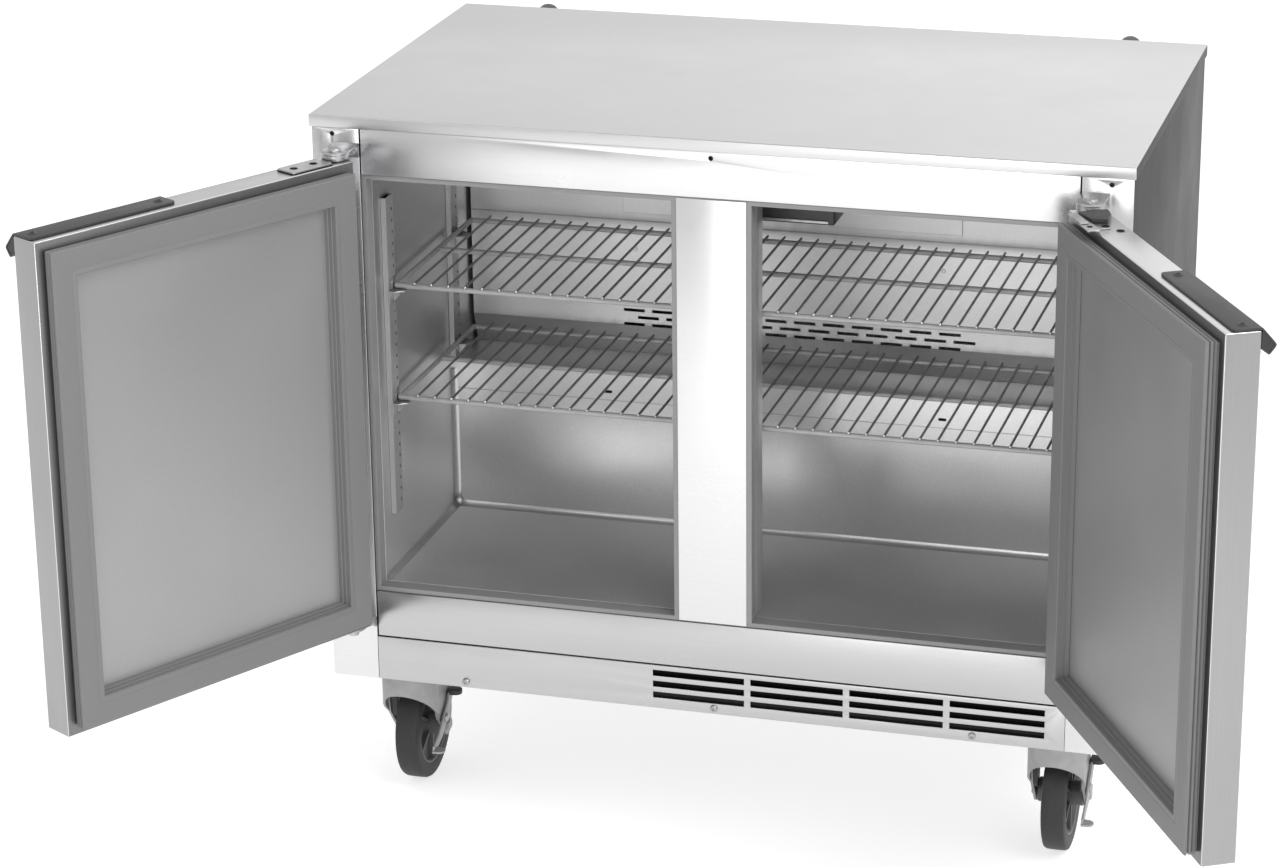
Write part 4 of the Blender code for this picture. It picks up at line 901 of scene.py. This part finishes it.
def caster_wheel(name, at):
    """Solid tread on a grey core with recessed, ribbed sides."""
    place = at @ Matrix.Translation((0.0, *AXLE))
    bm = bmesh.new()
    outer, half = 0.0633, 0.0130
    crown = [(0.0470, half - 0.0004), (0.0500, half), (outer - 0.0042, half), (outer - 0.0014, half - 0.0010),
             (outer - 0.0002, half - 0.0034), (outer, 0.0040)]
    spun(bm, crown + [(r, -x) for r, x in reversed(crown)], "x", steps=64)
    make(f"caster_wheel_{name}_tread", bm, TREAD, f"wheel_{name}", place,
         (f"caster_wheel_{name}",))

    bm = bmesh.new()
    core = [(0.0052, 0.0254), (0.0120, 0.0254), (0.0134, 0.0240), (0.0134, 0.0070), (0.0180, 0.0052),
            (0.0380, 0.0048), (0.0418, 0.0062), (0.0440, 0.0120), (0.0466, 0.0126), (0.0468, 0.0040)]
    spun(bm, core + [(r, -x) for r, x in reversed(core)], "x", steps=48)
    for index in range(6):
        turn = Matrix.Rotation(math.tau * index / 6, 4, "X")
        verts = []
        for end in (-1, 1):
            low, high = sorted((end * 0.0040, end * 0.0110))
            verts += block(bm, (low, -0.0014, 0.0120), (high, 0.0014, 0.0430))
        bmesh.ops.transform(bm, matrix=turn, verts=verts)
    make(f"caster_wheel_{name}_core", bm, WHEEL_CORE, f"wheel_{name}", place)

    bm = bmesh.new()
    washer = ((0.0, 0.0), (0.0092, 0.0), (0.0092, 0.0008), (0.0, 0.0008))
    head = ((0.0, 0.0), (0.0066, 0.0), (0.0066, 0.0022), (0.0058, 0.0030), (0.0, 0.0030))
    for end in (-1, 1):
        for profile, start, steps in ((washer, 0.0290, 24), (head, 0.0294, 6)):
            sub = bmesh.new()
            spun(sub, profile, "x", (0.0, 0.0, 0.0), steps)
            bmesh.ops.translate(sub, verts=sub.verts, vec=(start, 0.0, 0.0))
            if end < 0:
                bmesh.ops.scale(sub, vec=(-1.0, 1.0, 1.0), verts=sub.verts)
            holder = bpy.data.meshes.new("axle_bolt_part")
            sub.to_mesh(holder)
            sub.free()
            bm.from_mesh(holder)
            bpy.data.meshes.remove(holder)
    bar(bm, (-0.0300, 0.0, 0.0), (0.0300, 0.0, 0.0), 0.0042, 16)
    make(f"caster_{name}_axle_bolt", bm, YOKE_STEEL, f"yoke_{name}", place)


def plate_parts(name, at):
    """The pressed top plate with its four screws, and the ball race under it."""
    bm = bmesh.new()
    outline = (arc((0.0260, 0.0390), 0.006, 0, 90, 4) + arc((-0.0260, 0.0390), 0.006, 90, 180, 4)
               + arc((-0.0260, -0.0290), 0.006, 180, 270, 4) + arc((0.0260, -0.0290), 0.006, 270, 360, 4))
    slab(bm, outline, "z", 0.0009, 0.0039)
    soften(bm, 0.0006, 1, 50.0)
    race = ((0.0, 0.0010), (0.0238, 0.0010), (0.0238, -0.0010), (0.0226, -0.0021), (0.0, -0.0021))
    spun(bm, list(reversed(race)), "z", steps=40)
    make(f"caster_plate_{name}_pressing", bm, ZINC, "cabinet", at, (f"caster_plate_{name}",))
    bm = bmesh.new()
    for x in (-0.0240, 0.0240):
        for y in (-0.0260, 0.0360):
            outline = ((0.0, -0.0026), (0.0050, -0.0026), (0.0056, -0.0020), (0.0056, 0.0008), (0.0, 0.0008))
            spun(bm, outline, "z", (x, y, 0.0), 6)
    make(f"caster_plate_{name}_bolts", bm, ZINC, "cabinet", at)


def brake_lever(name, at):
    """A bent side strip with a rounded black foot pad above and a rounded tab below."""
    place = at @ Matrix.Translation((0.0, 0.0240, -0.0780))
    start, sheet = 0.0304, 0.0024
    bm = bmesh.new()
    outline = [(-0.0440, -0.0245), (-0.0330, -0.0245), (-0.0130, -0.0170), (0.0060, -0.0030), (0.0200, 0.0120),
               (0.0270, 0.0215), (0.0280, 0.0250), (0.0130, 0.0250), (0.0080, 0.0160), (-0.0080, 0.0040),
               (-0.0240, -0.0090), (-0.0420, -0.0180)]
    slab(bm, outline, "x", start, start + sheet)
    tab = arc((start + 0.0060, -0.0380), 0.0072, -90, 90, 8) + [(start, -0.0308), (start, -0.0452)]
    slab(bm, tab, "z", -0.0250, -0.0226)
    soften(bm, 0.0006, 2, 50.0)
    make(f"brake_lever_{name}_strip", bm, YOKE_STEEL, f"brake_{name}", place,
         (f"brake_lever_{name}",))
    bm = bmesh.new()
    pad = arc((start + 0.0070, 0.0205), 0.0078, -90, 90, 8)
    pad += [(start - 0.0012, 0.0283), (start - 0.0012, 0.0127)]
    slab(bm, pad, "z", 0.0215, 0.0268)
    soften(bm, 0.0008, 2, 50.0)
    make(f"brake_lever_{name}_pad", bm, BLACK, f"brake_{name}", place)
    bm = bmesh.new()
    spun(bm, ((0.0, 0.0), (0.0055, 0.0), (0.0055, 0.0010), (0.0040, 0.0026), (0.0, 0.0030)), "x", steps=20)
    bmesh.ops.translate(bm, verts=bm.verts, vec=(start + sheet - 0.0002, 0.0, 0.0))
    make(f"brake_lever_{name}_rivet", bm, ZINC, f"brake_{name}", place)


# ---------------- stage

def stage():
    bm = bmesh.new()
    bmesh.ops.create_grid(bm, x_segments=1, y_segments=1, size=30.0)
    mesh = bpy.data.meshes.new("floor")
    bm.to_mesh(mesh)
    bm.free()
    surface = bpy.data.materials.new("floor_paper")
    surface.use_nodes = True
    shader = surface.node_tree.nodes["Principled BSDF"]
    shader.inputs["Base Color"].default_value = (0.55, 0.55, 0.55, 1.0)
    shader.inputs["Emission Color"].default_value = (1.0, 1.0, 1.0, 1.0)
    shader.inputs["Emission Strength"].default_value = 0.66
    shader.inputs["Roughness"].default_value = 0.9
    shader.inputs["Specular IOR Level"].default_value = 0.1
    mesh.materials.append(surface)
    floor = bpy.data.objects.new("floor", mesh)
    bpy.context.scene.collection.objects.link(floor)

    world = bpy.data.worlds.new("studio")
    bpy.context.scene.world = world
    world.use_nodes = True
    nodes, link = world.node_tree.nodes, world.node_tree.links.new
    back = nodes["Background"]
    back.inputs["Strength"].default_value = 1.25
    place = nodes.new("ShaderNodeTexCoord")
    facing = nodes.new("ShaderNodeVectorMath")
    facing.operation = "DOT_PRODUCT"
    facing.inputs[1].default_value = (-0.10, -0.80, 0.59)
    spread = nodes.new("ShaderNodeMapRange")
    spread.inputs["From Min"].default_value = 0.55
    spread.inputs["From Max"].default_value = 0.90
    spread.inputs["To Min"].default_value = 1.0
    spread.inputs["To Max"].default_value = 0.10
    parts = nodes.new("ShaderNodeSeparateXYZ")
    sideways = nodes.new("ShaderNodeMapRange")
    sideways.inputs["From Min"].default_value = -0.48
    sideways.inputs["From Max"].default_value = -0.05
    sideways.inputs["To Min"].default_value = 0.72
    sideways.inputs["To Max"].default_value = 1.0
    both = nodes.new("ShaderNodeMath")
    both.operation = "MULTIPLY"
    link(place.outputs["Generated"], facing.inputs[0])
    link(place.outputs["Generated"], parts.inputs[0])
    link(facing.outputs["Value"], spread.inputs["Value"])
    link(parts.outputs["X"], sideways.inputs["Value"])
    link(spread.outputs["Result"], both.inputs[0])
    link(sideways.outputs["Result"], both.inputs[1])
    link(both.outputs[0], back.inputs["Color"])

    for name, spot, target, size, power in (
            ("key", (2.4, -1.6, 3.4), (0.0, -0.2, 0.3), 2.2, 70.0),
            ("fill", (-1.8, -3.0, 2.6), (0.0, -0.2, 0.4), 1.8, 25.0),
            ("front", (0.3, -3.4, 1.0), (0.0, 0.1, 0.3), 1.6, 24.0)):
        lamp = bpy.data.lights.new(name, "AREA")
        lamp.shape = "SQUARE"
        lamp.size = size
        lamp.energy = power
        made = bpy.data.objects.new(name, lamp)
        made.location = spot
        aim = Vector(target) - Vector(spot)
        made.rotation_euler = aim.to_track_quat("-Z", "Y").to_euler()
        bpy.context.scene.collection.objects.link(made)


def camera():
    """Looks down and to the left from the front right, with a slight roll."""
    yaw, pitch, roll = math.radians(16.167), math.radians(19.898), math.radians(-0.659)
    forward = Vector((-math.sin(yaw) * math.cos(pitch), math.cos(yaw) * math.cos(pitch), -math.sin(pitch)))
    right = forward.cross(Vector((0.0, 0.0, 1.0))).normalized()
    up = right.cross(forward)
    across = math.cos(roll) * right + math.sin(roll) * up
    above = -math.sin(roll) * right + math.cos(roll) * up
    lens = bpy.data.cameras.new("camera")
    lens.sensor_width = 36.0
    lens.lens = 3648.1 / 1280.0 * 36.0
    lens.clip_end = 100.0
    made = bpy.data.objects.new("camera", lens)
    turn = Matrix((across, above, -forward)).transposed().to_4x4()
    spot = Vector((1.3559 - WIDTH / 2, -3.4566, 1.6136))
    made.matrix_world = Matrix.Translation(CABINET.translation + spot) @ turn
    bpy.context.scene.collection.objects.link(made)
    bpy.context.scene.camera = made


cabinet_shell()
back_details()
cavity()
pilasters()
shelves()
cooling_parts()
doors()
brackets()
casters()
stage()
camera()
bpy.context.scene.view_settings.view_transform = "Standard"
